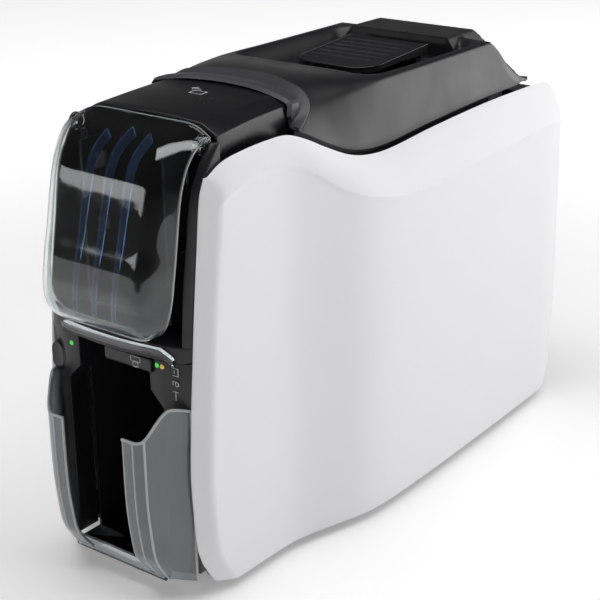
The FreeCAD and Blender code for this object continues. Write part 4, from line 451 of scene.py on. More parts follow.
def disc_points(centre, radius, axis, count=32):
    """Points round a circle that faces along x or y."""
    points = []
    for number in range(count):
        angle = 2 * math.pi * number / count
        a, b = radius * math.cos(angle), radius * math.sin(angle)
        points.append(Vector(centre) + Vector((0, a, b) if axis == "x" else (a, 0, b)))
    return points


def pushed(outline, shift):
    """The two end rings of a bar: an outline, and the outline pushed along a vector."""
    return [[Vector(point) for point in outline], [Vector(point) + Vector(shift) for point in outline]]


def turned(profile, angles):
    """Rings of points about the z axis from radius and height pairs."""
    turns = [math.radians(angle) for angle in angles]
    return [[Vector((radius * math.cos(turn), radius * math.sin(turn), z)) for turn in turns]
            for radius, z in profile]


def skinned(*grids, form=None):
    """A form with a grid of faces through each set of rows of points."""
    form = form or bmesh.new()
    for rows in grids:
        lines = [[form.verts.new(point) for point in row] for row in rows]
        for low, high in zip(lines, lines[1:]):
            for index in range(len(low) - 1):
                form.faces.new((low[index], low[index + 1], high[index + 1], high[index]))
    return form


def solid(*bars):
    """A form with a closed solid through each set of rings of points."""
    form = bmesh.new()
    for rings in bars:
        skinned([ring + [ring[0]] for ring in rings], form=form)
        for ring in (rings[0], rings[-1]):
            form.faces.new([form.verts.new(point) for point in ring])
    return form


# Objects and geometry trees


def new_object(name, mesh):
    """A new object in the scene."""
    obj = bpy.data.objects.new(name, mesh)
    bpy.context.scene.collection.objects.link(obj)
    return obj


def face_outwards(form):
    """Turns the faces of a form away from its middle, also on a shell that is still open."""
    bmesh.ops.recalc_face_normals(form, faces=form.faces)
    middle = sum((vert.co for vert in form.verts), Vector()) / len(form.verts)
    leans = (face.normal.dot(face.calc_center_median() - middle) * face.calc_area() for face in form.faces)
    if sum(leans) < 0:
        bmesh.ops.reverse_faces(form, faces=form.faces)


def form_mesh(name, form):
    """Turns a form drawn in millimetres into a mesh in metres."""
    if not form.faces:
        raise RuntimeError(name + " has no faces")
    bmesh.ops.remove_doubles(form, verts=form.verts, dist=0.005)
    face_outwards(form)
    bmesh.ops.scale(form, vec=(MM, MM, MM), verts=form.verts)
    mesh = bpy.data.meshes.new(name)
    form.to_mesh(mesh)
    form.free()
    return mesh


def bare_object(name, points, edges=()):
    """An object of points and edges in millimetres, for a geometry tree to work on."""
    mesh = bpy.data.meshes.new(name)
    mesh.from_pydata([Vector(point) * MM for point in points], edges, [])
    return new_object(name, mesh)


def settle(obj, slot, body, nodes=(), keep_sharp=32, finish=None):
    """Works an object's modifiers into its mesh, gives it a finish and lets it ride on a body."""
    rough = obj.data
    settled = bpy.data.meshes.new_from_object(obj.evaluated_get(bpy.context.evaluated_depsgraph_get()))
    obj.modifiers.clear()
    obj.data = settled
    bpy.data.meshes.remove(rough)
    settled.name = obj.name
    for face in settled.polygons:
        face.use_smooth = True
    settled.set_sharp_from_angle(angle=math.radians(keep_sharp))
    settled.materials.clear()
    settled.materials.append(FINISHES[finish or slot])
    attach(obj, body)
    if nodes:
        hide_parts(*nodes)


def piece(name, form, slot, body, nodes=(), wall=0.0, edge=0.0, segments=2, keep_sharp=32, finish=None):
    """Turns a form into a finished object, with a wall where it is a shell and with rounded edges."""
    obj = new_object(name, form_mesh(name, form))
    if wall:
        shell = obj.modifiers.new("wall", "SOLIDIFY")
        shell.thickness = wall * MM
        shell.offset = -1
    if edge:
        bevel = obj.modifiers.new("edge", "BEVEL")
        bevel.width = edge * MM
        bevel.segments = segments
        bevel.limit_method = "ANGLE"
        bevel.angle_limit = math.radians(keep_sharp)
    settle(obj, slot, body, nodes, keep_sharp, finish)


def node_group(name, fields):
    """An empty geometry tree with named inputs, and the identifier of each input."""
    tree = bpy.data.node_groups.new(name, "GeometryNodeTree")
    tree.interface.new_socket("Geometry", in_out="INPUT", socket_type="NodeSocketGeometry")
    keys = {field: tree.interface.new_socket(field, in_out="INPUT", socket_type=kind).identifier
            for field, kind in fields}
    tree.interface.new_socket("Geometry", in_out="OUTPUT", socket_type="NodeSocketGeometry")
    return tree, keys, add_node(tree, "NodeGroupInput").outputs


def close_tree(tree, geometry, finish):
    """Ends a tree: real geometry with its material."""
    real = add_node(tree, "GeometryNodeRealizeInstances", None, {"Geometry": geometry})
    dressed = add_node(tree, "GeometryNodeSetMaterial", None, {
        "Geometry": real.outputs["Geometry"], "Material": finish})
    add_node(tree, "NodeGroupOutput", None, {"Geometry": dressed.outputs["Geometry"]})


def run_tree(obj, tree, keys, values):
    """Puts a tree on an object and fills its inputs by their identifiers."""
    growth = obj.modifiers.new("growth", "NODES")
    growth.node_group = tree
    for field, value in values.items():
        growth[keys[field]] = value


def swept(name, paths, radius, slot, body, finish):
    """Sweeps a round section along paths in millimetres. A path that ends where it starts is closed."""
    points, edges = [], []
    for path in paths:
        first = len(points)
        closed = (Vector(path[0]) - Vector(path[-1])).length < 0.01
        line = path[:-1] if closed else path
        points += line
        edges += [(first + number, first + number + 1) for number in range(len(line) - 1)]
        if closed:
            edges.append((first + len(line) - 1, first))
    tree, keys, inputs = node_group("sweep_along_paths", (
        ("Section radius", "NodeSocketFloat"), ("Finish", "NodeSocketMaterial")))
    path = add_node(tree, "GeometryNodeMeshToCurve", None, {"Mesh": inputs["Geometry"]})
    ring = add_node(tree, "GeometryNodeCurvePrimitiveCircle", None, {
        "Resolution": 10, "Radius": inputs["Section radius"]})
    tube = add_node(tree, "GeometryNodeCurveToMesh", None, {
        "Curve": path.outputs["Curve"], "Profile Curve": ring.outputs["Curve"], "Fill Caps": True})
    close_tree(tree, tube.outputs["Mesh"], inputs["Finish"])
    obj = bare_object(name, points, edges)
    run_tree(obj, tree, keys, {"Section radius": radius * MM, "Finish": FINISHES[finish]})
    settle(obj, slot, body, keep_sharp=60, finish=finish)


def scattered(name, form, places, slot, body, nodes=()):
    """Repeats a small form drawn round the origin at places in millimetres."""
    pattern = new_object(name + "_pattern", form_mesh(name + "_pattern", form))
    obj = bare_object(name, places)
    tree, keys, inputs = node_group("repeat_at_points", (
        ("Pattern", "NodeSocketObject"), ("Finish", "NodeSocketMaterial")))
    shape = add_node(tree, "GeometryNodeObjectInfo", None, {"Object": inputs["Pattern"]})
    copies = add_node(tree, "GeometryNodeInstanceOnPoints", None, {
        "Points": inputs["Geometry"], "Instance": shape.outputs["Geometry"]})
    close_tree(tree, copies.outputs["Instances"], inputs["Finish"])
    run_tree(obj, tree, keys, {"Pattern": pattern, "Finish": FINISHES[slot]})
    settle(obj, slot, body, nodes)
    pattern_mesh = pattern.data
    bpy.data.objects.remove(pattern)
    bpy.data.meshes.remove(pattern_mesh)


# Side panels

OUTER_X, CREASE_Z, SEAM_X, SEAM_Z = curves(PANEL_SHARES, HALF_DEPTH, HALF_WIDTH, HEIGHT, HALF_WIDTH, HEIGHT)
FRONT_Y = curves(FRONT_EDGE_SHARES, HEIGHT, HALF_DEPTH)[0]
REAR_Y = curves(REAR_EDGE_SHARES, HEIGHT, HALF_DEPTH)[0]
# The flat of the side lies a little deeper than the band along its top.
CREASE_STEP = 0.9
CREASE_STEP_SHARE = 0.014
FRONT_EDGE_TURN = 2.6
PANEL_WALL = 2.3
REAR_LIP = 0.6
# Rows of points: even up to the crease at 1, close together across it, then even up to the seam at 2.
PANEL_ROWS = (shares(26, 0, 0.955) + [0.975, 0.982, 0.986, 0.9895, 0.993, 0.9965, 1.0, 1.02, 1.06, 1.12]
              + shares(8, 1.2, 2.0))


def panel_point(y, up):
    """A place on the right panel: up runs from the bottom to the crease at 1 and the seam at 2."""
    outer, crease = OUTER_X(y), CREASE_Z(y)
    if up <= 1:
        sunk = CREASE_STEP * eased((1 - up) / CREASE_STEP_SHARE)
        return Vector((outer - sunk, y, GROUND_GAP + (crease - GROUND_GAP) * up))
    t = up - 1
    swell = 4 * BULGE * t * (1 - t)
    return Vector((outer + (SEAM_X(y) - outer) * t + swell, y, crease + (SEAM_Z(y) - crease) * t + swell))


def panel_limit(up, edge, lean):
    """Where a row of the panel meets the front or rear edge."""
    y = edge(HEIGHT / 2)
    for _ in range(SOLVE_STEPS):
        point = panel_point(y, up)
        y = (y + edge(point.z) + (point.x - STRIP_INNER_X) * lean) / 2
    return y


def panel_row(up):
    """One row of the right panel: round its front edge, along the side and round its rear edge."""
    front, rear = panel_limit(up, FRONT_Y, STRIP_LEAN_SHARE), panel_limit(up, REAR_Y, 0)
    tip, end = panel_point(front, up), panel_point(rear, up)
    inner = Vector((STRIP_INNER_X, FRONT_Y(tip.z), tip.z))
    turn = panel_point(front + FRONT_EDGE_TURN, up)
    start = tip + (inner - tip).normalized() * min(FRONT_EDGE_TURN, (inner - tip).length * 0.6)
    row = [inner.lerp(start, t) for t in shares(3)] + bent(start, tip, turn, 6)
    row += [panel_point(turn.y + (rear - turn.y) * t, up) for t in shares(110)[1:]]
    row += [Vector((x, end.y, end.z)) for x in shares(2, end.x, REAR_HALF_WIDTH + REAR_LIP)[1:]]
    return row


class PRINTER_OT_side_panels(bpy.types.Operator):
    """Left and right shells with rounded fronts and a crease under the cover"""

    bl_idname = "printer.side_panels"
    bl_label = "Side panels"

    def execute(self, context):
        rows = [panel_row(up) for up in PANEL_ROWS]
        for side, name in ((1, "right"), (-1, "left")):
            form = skinned([[Vector((p.x * side, p.y, p.z)) for p in row] for row in rows])
            piece(name + "_shell", form, "white_abs", "base", (name + "_side_panel",), wall=PANEL_WALL,
                  edge=1.1, segments=3)
        return {"FINISHED"}


# Top cover

FOOT_X, CREST_X, CREST_Z, MIDDLE_Z = curves(
    COVER_SHARES, HALF_DEPTH, HALF_WIDTH, HALF_WIDTH, HEIGHT, HEIGHT)
REAR_SLOPE_Z = curves(COVER_REAR_SHARES, HALF_DEPTH, HEIGHT)[0]
# The round of the crest, by the place along the cover.
CREST_ROUND = reader([(-86, 9.0), (-60, 8.0), (-30, 5.0), (0, 2.6), (60, 2.0), (160, 2.0)])
# The dish that the latch lies in, and the raised rest behind it.
DISH = {"half": 53.0, "front": -12.0, "rear": 110.0, "corner": 16.0, "wall": 10.0}
DISH_RIM_Z = 263.9
DISH_FLOOR_Z = 252.5
PLATEAU = {"half": 36.5, "front": 98.0, "rear": 131.0, "top": 267.0, "flare": 11.0, "fall": 15.5,
           "lip": 2.0}
COVER_SEAM = 3.0
COVER_SWELL = BULGE * 0.8
COVER_START_Y = -60.0
COVER_REAR_Y = 158.8
COVER_LANES = 62
# Rings along the cover: the step between them and their count, for its whole length and for its rear.
COVER_STEPS = (2.0, 80)
REAR_STEPS = (1.7, 28)
# More rings close to the edge where the raised rest steps up.
REST_STEPS = (-1.5, -1.0, -0.5, 0.5)
SKIRT_INSET = 3.4
SKIRT_DROP = 7.0
SKIRT_LEDGE = 0.4
# Where the skirt starts to grow shorter on its way back, and where it is gone.
SKIRT_END = (90.0, 125.0)
BAND_LIP = 0.5
BAND_SAG = 1.6
BAND_RETURN = 7.0
BAND_EDGE = 0.6
BAND_FLARE_SHARE = 0.008
# How the band's rear edge tucks in under the cover: back and down.
BAND_TUCK = Vector((0, 1.4, -0.3))


def inside_dish(x, y):
    """How far a place lies inside the dish's rounded outline."""
    middle = (DISH["front"] + DISH["rear"]) / 2
    reach = (DISH["rear"] - DISH["front"]) / 2
    a = abs(x) - (DISH["half"] - DISH["corner"])
    b = abs(y - middle) - (reach - DISH["corner"])
    return DISH["corner"] - math.hypot(max(a, 0), max(b, 0)) - min(max(a, b), 0)


def cover_top_z(x, y, plain):
    """The cover's height with its dish and the raised rest behind the latch."""
    sunk = plain - (DISH_RIM_Z - DISH_FLOOR_Z) * eased(inside_dish(x, y) / DISH["wall"])
    past = max(abs(x) - PLATEAU["half"], y - PLATEAU["rear"])
    raised = PLATEAU["top"] - max(past, 0) * PLATEAU["fall"] / PLATEAU["flare"]
    raised -= max(PLATEAU["front"] - y, 0) * PLATEAU["fall"] / PLATEAU["lip"]
    return max(sunk, raised)


def cover_section(y):
    """A cross section of the cover from its right foot over the crest to its left foot."""
    foot = Vector((FOOT_X(y), SEAM_Z(y) + COVER_SEAM))
    crest = Vector((CREST_X(y), CREST_Z(y)))
    middle = min(MIDDLE_Z(y), REAR_SLOPE_Z(y))

    def side(t):
        return foot.lerp(crest, t) + Vector((4 * COVER_SWELL * t * (1 - t), 0))

    def top(share):
        return Vector((crest.x * share, crest.y + (middle - crest.y) * (1 - abs(share) ** 5)))

    top_share = 1.0
    if REAR_SLOPE_Z(y) < crest.y:
        top_share = (REAR_SLOPE_Z(y) - foot.y) / (crest.y - foot.y)
        crest = side(top_share)
    turn = min(CREST_ROUND(y), (crest.y - foot.y) * 0.8)
    side_end = top_share * (1 - turn / max((crest - foot).length, 1.0))
    flat_start = 1 - turn / crest.x
    drop = SKIRT_DROP * (1 - eased((y - SKIRT_END[0]) / (SKIRT_END[1] - SKIRT_END[0])))
    inner_x = foot.x - SKIRT_INSET
    lower = [Vector((inner_x, foot.y - drop)), Vector((inner_x, foot.y + SKIRT_LEDGE))]
    lower += [side(side_end * t) for t in shares(8)]
    upper = bent(side(side_end), crest, top(flat_start), 7)
    upper += [top(flat_start * (1 - t)) for t in shares(COVER_LANES)[1:]]
    points = [Vector((p.x, y, p.y)) for p in lower]
    points += [Vector((p.x, y, cover_top_z(p.x, y, p.y))) for p in upper]
    return points + mirror(points[:-1])


def arch_readers():
    """The band's outer y and its inner x, y and z, by the angle seen from the middle of the opening."""
    angles = [math.atan2((row[5] - ARCH_CENTRE_SHARE) * HEIGHT, row[3] * HALF_WIDTH) for row in ARCH_SHARES]
    columns = ((4, HALF_DEPTH), (0, HALF_WIDTH), (1, HALF_DEPTH), (2, HEIGHT))
    return [reader(list(zip(angles, (row[axis] * size for row in ARCH_SHARES)))) for axis, size in columns]


def cover_lanes():
    """For each line along the cover: where it starts, the point there and the band's edge beside it."""
    outer_y, *inner = arch_readers()
    lanes = []
    for lane in range(len(cover_section(0))):
        y = COVER_START_Y
        for _ in range(SOLVE_STEPS):
            point = cover_section(y)[lane]
            angle = math.atan2(point.z - ARCH_CENTRE_SHARE * HEIGHT, abs(point.x))
            y = (y + outer_y(angle)) / 2
        edge = Vector([axis(angle) for axis in inner])
        if point.x < 0:
            edge.x *= -1
        lanes.append((y, point, edge))
    return lanes


def cover_stations():
    """Places along the cover, closer together where the raised rest steps up and where the rear slopes."""
    places = {PLATEAU["front"] + step for step in REST_STEPS} | {COVER_REAR_Y}
    for start, (step, count) in ((DISH["front"], COVER_STEPS), (DISH["rear"], REAR_STEPS)):
        places |= {round(start + step * number, 2) for number in range(count)}
    return sorted(y for y in places if y <= COVER_REAR_Y)


class PRINTER_OT_top_cover(bpy.types.Operator):
    """The hood with its dish and raised rest, and the matt band round its front opening, painted lighter
    grey as reflection
    """

    bl_idname = "printer.top_cover"
    bl_label = "Top cover"

    def execute(self, context):
        wall = context.scene.printer_sizes.shell_wall / MM
        lanes = cover_lanes()
        places = cover_stations()
        sections = [cover_section(y) for y in places]
        rows = []
        for lane, (start, _, _) in enumerate(lanes):
            row = [cover_section(start + (places[0] - start) * t)[lane] for t in shares(24)[:-1]]
            rows.append(row + [section[lane] for section in sections])
        piece("cover_shell", skinned(rows), "black_abs", "cover", ("top_cover",), wall=wall, edge=0.4)
        rows = []
        for _, point, edge in lanes[2:-2]:
            lip = point + Vector((point.x * BAND_FLARE_SHARE, 0, min(BAND_LIP, HEIGHT - point.z)))
            inward = Vector((-point.x, 0, ARCH_CENTRE_SHARE * HEIGHT - point.z)).normalized()
            row = [edge + Vector((0, BAND_RETURN, 0)), edge + Vector((0, BAND_EDGE, 0)), edge]
            row += [edge.lerp(lip, t) + inward * (4 * BAND_SAG * t * (1 - t)) for t in shares(10)[1:]]
            rows.append(row + [point + BAND_TUCK])
        # The band's finish is a lighter grey black: painted reflection.
        piece("cover_band", skinned(rows), "black_abs", "cover", wall=wall * 0.8, edge=0.4, keep_sharp=24,
              finish="cover_band")
        return {"FINISHED"}


# Cover latch

LATCH_HALF = 29.5
LATCH_FRONT_Y = 21.0
LATCH_REAR_Y = 87.0
LATCH_FRONT_Z = 259.5
LATCH_REAR_Z = 264.0
LATCH_CORNER = 15.0
LATCH_THICK = 3.2
LATCH_HEEL = 3.0
LATCH_RIM = 0.75
LATCH_RIM_OUT = 0.5
# The latch's rounded edge, as steps inwards and down from the corner, and where its grooved field starts.
LATCH_EDGE = ((0, 0.6), (0.7, 0), (1.6, 0))
LATCH_FIELD = 3.2
LATCH_FIELD_SHARES = (-0.6, -0.2, 0.2, 0.6)
LATCH_RIB_SHARES = (0.08, 0.23, 0.38, 0.53, 0.68, 0.83)
GROOVE_HALF = 1.5
GROOVE_DEPTH = 0.9


def latch_ring(t):
    """A cross section of the latch: two rounded edges and, between them, a field with grooves."""
    y = LATCH_FRONT_Y + (LATCH_REAR_Y - LATCH_FRONT_Y) * t
    z = LATCH_FRONT_Z + (LATCH_REAR_Z - LATCH_FRONT_Z) * t
    field_y = LATCH_FRONT_Y + LATCH_CORNER
    inset = LATCH_CORNER - math.sqrt(max(LATCH_CORNER ** 2 - max(field_y - y, 0) ** 2, 0))
    reach = LATCH_HALF - inset * 0.95
    groove = 0.0
    for share in LATCH_RIB_SHARES:
        offset = abs(y - (field_y + (LATCH_REAR_Y - field_y) * share)) / GROOVE_HALF
        groove = max(groove, GROOVE_DEPTH * (1 - offset ** 2))
    low = z - LATCH_THICK - LATCH_HEEL * t ** 3
    side = [(reach, low)] + [(reach - inwards, z - down) for inwards, down in LATCH_EDGE]
    side += [(reach - LATCH_FIELD, z - groove)]
    ring = [(-x, level) for x, level in side]
    ring += [((reach - LATCH_FIELD) * share, z - groove) for share in LATCH_FIELD_SHARES]
    return [Vector((x, y, level)) for x, level in ring + side[::-1]]


class PRINTER_OT_cover_latch(bpy.types.Operator):
    """The ribbed latch and the bead round its rim"""

    bl_idname = "printer.cover_latch"
    bl_label = "Cover latch"

    def execute(self, context):
        rings = [latch_ring(t) for t in shares(110)]
        piece("latch_pad", solid(rings), "black_abs", "latch", ("cover_latch",), keep_sharp=40)
        rim = [ring[1] + Vector((LATCH_RIM_OUT, 0, LATCH_RIM_OUT)) for ring in rings[::-1]]
        rim += [ring[-2] + Vector((-LATCH_RIM_OUT, 0, LATCH_RIM_OUT)) for ring in rings]
        swept("latch_rim_bead", [rim], LATCH_RIM, "black_abs", "latch", "cap_black")
        return {"FINISHED"}


# Hopper cap

CAP_MIDDLE_Z, CAP_FACET_Z, CAP_RIDGE_Z = curves(CAP_SHARES, HALF_DEPTH, HEIGHT, HEIGHT, HEIGHT)
CAP_HALF = 47.2
CAP_FACET_HALF = 37.0
CAP_LOW_Z = 240.0
CAP_FRONT_Y = -139.3
CAP_REAR_Y = -75.3


def cap_z(x, y):
    """The height of the cap's middle field, which falls a little to each side."""
    fall = (CAP_MIDDLE_Z(y) - CAP_FACET_Z(y)) / 4
    return CAP_MIDDLE_Z(y) - fall * abs(x) / (CAP_FACET_HALF / 2)


class PRINTER_OT_hopper_cap(bpy.types.Operator):
    """The hopper's cap: a shallow roof with a facet at each side"""

    bl_idname = "printer.hopper_cap"
    bl_label = "Hopper cap"

    def execute(self, context):
        rows = []
        for y in shares(10, CAP_FRONT_Y, CAP_REAR_Y):
            half = [(CAP_HALF, CAP_LOW_Z), (CAP_HALF, CAP_RIDGE_Z(y)), (CAP_FACET_HALF, CAP_FACET_Z(y)),
                    (CAP_FACET_HALF / 2, cap_z(CAP_FACET_HALF / 2, y)), (0, CAP_MIDDLE_Z(y))]
            points = [Vector((x, y, z)) for x, z in half]
            rows.append(points + mirror(points[:-1]))
        piece("cap_shell", skinned(rows), "cap_black", "base", ("hopper_cap",), edge=1.2, segments=4,
              keep_sharp=14, wall=context.scene.printer_sizes.shell_wall / MM)
        return {"FINISHED"}


# Front bezel

BEZEL_MIDDLE_Y, BEZEL_SIDE_Y = curves(BEZEL_SHARES, HEIGHT, HALF_DEPTH, HALF_DEPTH)
BEZEL_HALF = 51.6
BEZEL_KNEE = BEZEL_HALF * 0.88
BEZEL_BACK_Y = -142.0
BEZEL_LOW_Z = 143.0
BEZEL_TOP_Z = 255.4
OPENING_HALF = 46.8
SILL_Z = 151.5
HINGE_PIN = 2.5
HINGE_LENGTH = 5.0


def bezel_knee_y(z):
    """Where the bezel's front starts to turn to the side, at one height."""
    return BEZEL_MIDDLE_Y(z) + (BEZEL_SIDE_Y(z) - BEZEL_MIDDLE_Y(z)) * 0.45


def bezel_front(z):
    """The bezel's front edge seen from above at one height, as y by x."""
    ends = [(BEZEL_HALF, BEZEL_SIDE_Y(z)), (BEZEL_KNEE, bezel_knee_y(z))]
    return reader(ends + [(0, BEZEL_MIDDLE_Y(z))] + [(-x, y) for x, y in ends])


def upright_ring(side, z):
    """A cross section of one of the bezel's uprights, with its rounded front corner."""
    side_y, knee_y = BEZEL_SIDE_Y(z), bezel_knee_y(z)
    front = knee_y + (side_y - knee_y) * (OPENING_HALF - BEZEL_KNEE) / (BEZEL_HALF - BEZEL_KNEE)
    start, end = Vector((OPENING_HALF, front)), Vector((BEZEL_HALF, side_y + 2.0))
    outline = [(OPENING_HALF, BEZEL_BACK_Y), start]
    outline += bent(start, Vector((BEZEL_HALF, front + (side_y - front) * 0.25)), end, 5)
    outline += [(BEZEL_HALF, BEZEL_BACK_Y)]
    return [Vector((x * side, y, z)) for x, y in outline]


def sill_ring(z):
    """A cross section of the bezel's sill, bowed like its front edge."""
    front = bezel_front(z)
    outline = [(BEZEL_HALF, BEZEL_BACK_Y)] + [(x, front(x)) for x in shares(24, BEZEL_HALF, -BEZEL_HALF)]
    return [Vector((x, y, z)) for x, y in outline + [(-BEZEL_HALF, BEZEL_BACK_Y)]]


class PRINTER_OT_front_bezel(bpy.types.Operator):
    """The frame of the hopper's opening, with the pins that carry the door"""

    bl_idname = "printer.front_bezel"
    bl_label = "Front bezel"

    def execute(self, context):
        uprights = [[upright_ring(side, z) for z in shares(34, SILL_Z, BEZEL_TOP_Z)] for side in (1, -1)]
        sill = [sill_ring(z) for z in (BEZEL_LOW_Z, BEZEL_LOW_Z + 2, SILL_Z - 2, SILL_Z - 0.02)]
        pins = [pushed(disc_points((start, *DOOR_PIVOT), HINGE_PIN, "x"), (HINGE_LENGTH, 0, 0))
                for start in (OPENING_HALF - HINGE_LENGTH, -OPENING_HALF)]
        piece("bezel_frame", solid(*uprights, sill, *pins), "black_abs", "base", ("front_bezel",), edge=0.7,
              segments=3)
        return {"FINISHED"}


# Hopper door

# The door ends just short of its table, so that its top edge clears the card hopper when it is open.
DOOR_END = 0.982
DOOR_WALL = 2.0
# The door's foot turns in under it, to this place and a little narrower.
DOOR_FOOT_Y = -176.5
DOOR_FOOT_SHARE = 0.96
DOOR_FOOT_RISE = 0.2
RIM_BEAD = 0.7
BOSS_START = 41.4
BOSS_RADIUS = 5.0
BOSS_BORE = 2.56
FIN_THICK = 1.2
# How deep the fins are at their foot, and how much deeper they grow.
FIN_DEPTH = 2.2
FIN_GROWTH = 3.2
# Each fin: its place across the door, and where it starts and ends on the way up.
FINS = ((-12.0, 0.10, 0.86), (2.0, 0.10, 0.90), (16.0, 0.10, 0.88))


def door_readers():
    """Smooth curves of the door's six columns, by a share that runs up the door."""
    steps = [0.0]
    for before, after in zip(DOOR_SHARES, DOOR_SHARES[1:]):
        rise, run = (after[0] - before[0]) * HEIGHT, (after[1] - before[1]) * HALF_DEPTH
        steps.append(steps[-1] + math.hypot(rise, run))
    steps = [step / steps[-1] for step in steps]
    sizes = (HEIGHT, HALF_DEPTH, HALF_WIDTH) * 2
    return [reader(list(zip(steps, (row[index] * size for row in DOOR_SHARES))))
            for index, size in enumerate(sizes)]


DOOR_CURVES = door_readers()


def door_middle(t):
    """A place on the middle line of the door's face."""
    return Vector((0, DOOR_CURVES[1](t), DOOR_CURVES[0](t)))


def door_section(t, inset=0.0):
    """Half a cross section of the door, from the middle of its face to its rim."""
    along = (door_middle(t + 0.01) - door_middle(t - 0.01)).normalized()
    shift = Vector((0, along.z, -along.y)) * inset
    front_half, rim_z, rim_y, rim_half = (curve(t) for curve in DOOR_CURVES[2:])
    face = door_middle(t) + shift
    corner = face + Vector((front_half - inset, 0, 0))
    rim = Vector((rim_half - inset, rim_y, rim_z)) + shift
    start, end = corner.lerp(face, 0.22), corner.lerp(rim, 0.5)
    points = [face.lerp(start, s) for s in shares(6)] + bent(start, corner, end, 8)
    return points + [end.lerp(rim, s) for s in shares(3)[1:]]


def door_row(t, inset=0.0):
    """A whole cross section of the door, from its left rim to its right rim."""
    half = door_section(t, inset)
    return mirror(half) + half[1:]


def build_door_fins():
    """Thin blue fins that stand inwards from the door's face and grow deeper on their way up."""
    fins = []
    for x, start, end in FINS:
        outline = [door_section(t, DOOR_WALL)[0] for t in shares(30, start, end)]
        inner = []
        for t in shares(30, start, end):
            depth = FIN_DEPTH + FIN_GROWTH * eased((t - start) / (end - start) * 1.4)
            inner.append(door_section(t, DOOR_WALL + depth)[0])
        left = [Vector((x - FIN_THICK / 2, p.y, p.z)) for p in outline + inner[::-1]]
        fins.append(pushed(left, (FIN_THICK, 0, 0)))
    piece("door_fins", solid(*fins), "clear_plastic", "door", finish="fin_clear")


def build_door_bosses():
    """Bored bosses that turn on the bezel's pins."""
    bosses = []
    for start in (BOSS_START, -BOSS_START - HINGE_LENGTH):
        end = start + HINGE_LENGTH
        corners = ((start, BOSS_RADIUS), (end, BOSS_RADIUS), (end, BOSS_BORE), (start, BOSS_BORE))
        rings = [disc_points((x, *DOOR_PIVOT), radius, "x") for x, radius in corners]
        bosses.append([ring + ring[:1] for ring in rings + rings[:1]])
    piece("door_bosses", skinned(*bosses), "clear_plastic", "door", edge=0.3)


class PRINTER_OT_hopper_door(bpy.types.Operator):
    """The clear door with its foot, blue fins, bright rim and hinge bosses"""

    bl_idname = "printer.hopper_door"
    bl_label = "Hopper door"

    def execute(self, context):
        rows = [door_row(t) for t in shares(64, 0, DOOR_END)]
        turned_in = [Vector((p.x * DOOR_FOOT_SHARE, max(p.y, DOOR_FOOT_Y), p.z + DOOR_FOOT_RISE))
                     for p in rows[0]]
        piece("door_shell", skinned(rows, [rows[0], turned_in]), "clear_plastic", "door", ("hopper_door",),
              wall=DOOR_WALL, edge=0.45, keep_sharp=40)
        build_door_fins()
        right = [door_section(t, 0.9)[-1] for t in shares(48, 0.03, DOOR_END)]
        rims = [right, mirror(right)[::-1], door_row(DOOR_END, RIM_BEAD)]
        # The beads wear the whiter edge finish: a painted highlight along the door's rims.
        swept("door_rim_beads", rims, RIM_BEAD, "clear_plastic", "door", "edge_clear")
        build_door_bosses()
        return {"FINISHED"}


# Trim strip

TRIM_HALF = 36.0
TRIM_LOW_Z = 145.5
TRIM_TOP_Z = 150.5
TRIM_DROP = 6.0
TRIM_DEPTH = 2.5
TRIM_END = 3.0


class PRINTER_OT_trim_strip(bpy.types.Operator):
    """A bowed clear strip under the bezel's sill, whose right end turns down"""

    bl_idname = "printer.trim_strip"
    bl_label = "Trim strip"

    def execute(self, context):
        face = bezel_front(BEZEL_LOW_Z + 2)
        reach = TRIM_DROP * 1.3
        rings = []
        for x in shares(40, -TRIM_HALF, TRIM_HALF + reach):
            turn = max(x - TRIM_HALF, 0) / reach
            end = 1.5 * (1 - min(x + TRIM_HALF, TRIM_END) / TRIM_END)
            low = TRIM_LOW_Z - TRIM_DROP * 0.85 * turn ** 1.5 + end
            top = TRIM_TOP_Z - (TRIM_TOP_Z - TRIM_LOW_Z) * 0.9 * turn - end
            back = face(x) - 0.3
            front = back - TRIM_DEPTH * 0.8
            rings.append([Vector((x, *point)) for point in (
                (back, low), (front, low + 0.3), (back - TRIM_DEPTH, (low + top) / 2), (front, top - 0.3),
                (back, top))])
        piece("trim_bow", solid(rings), "clear_plastic", "base", ("trim_strip",), edge=0.3, keep_sharp=50)
        return {"FINISHED"}


# Lower front

EXIT_FACE_Y = -175.0
EXIT_SIDE_Y = -169.0
EXIT_BACK_Y = -160.0
EXIT_LOW_Z = 16.5
EXIT_MIDDLE_Z = 60.0
EXIT_TOP_Z = 142.7
EXIT_SHOULDER = BEZEL_HALF * 0.7
MOUTH_HALF = 26.0
MOUTH_LOW_HALF = 35.0
MOUTH_CHAMFER_Z = 124.0
MOUTH_STEP_Z = MOUTH_CHAMFER_Z - (MOUTH_LOW_HALF - MOUTH_HALF)


def exit_y(x):
    """The lower front's face: flat in the middle, drawn back to the sides."""
    slope = (EXIT_SIDE_Y - EXIT_FACE_Y) / (BEZEL_HALF - EXIT_SHOULDER)
    return EXIT_FACE_Y + slope * max(abs(x) - EXIT_SHOULDER, 0)


class PRINTER_OT_exit_face(bpy.types.Operator):
    """The two cheeks beside the mouth that the cards come out of"""

    bl_idname = "printer.exit_face"
    bl_label = "Exit face"

    def execute(self, context):
        cheeks = []
        for side in (1, -1):
            rings = []
            for z in (EXIT_LOW_Z, EXIT_MIDDLE_Z, MOUTH_STEP_Z, MOUTH_CHAMFER_Z, EXIT_TOP_Z):
                inner = MOUTH_LOW_HALF if z <= MOUTH_STEP_Z else MOUTH_HALF
                front = [(x, exit_y(x)) for x in (inner, max(inner + 0.6, EXIT_SHOULDER), BEZEL_HALF)]
                outline = [(inner, EXIT_BACK_Y), *front, (BEZEL_HALF, EXIT_BACK_Y)]
                rings.append([Vector((x * side, y, z)) for x, y in outline])
            cheeks.append(rings)
        piece("exit_frame", solid(*cheeks), "black_abs", "base", ("exit_bezel",), edge=0.6, segments=3)
        return {"FINISHED"}


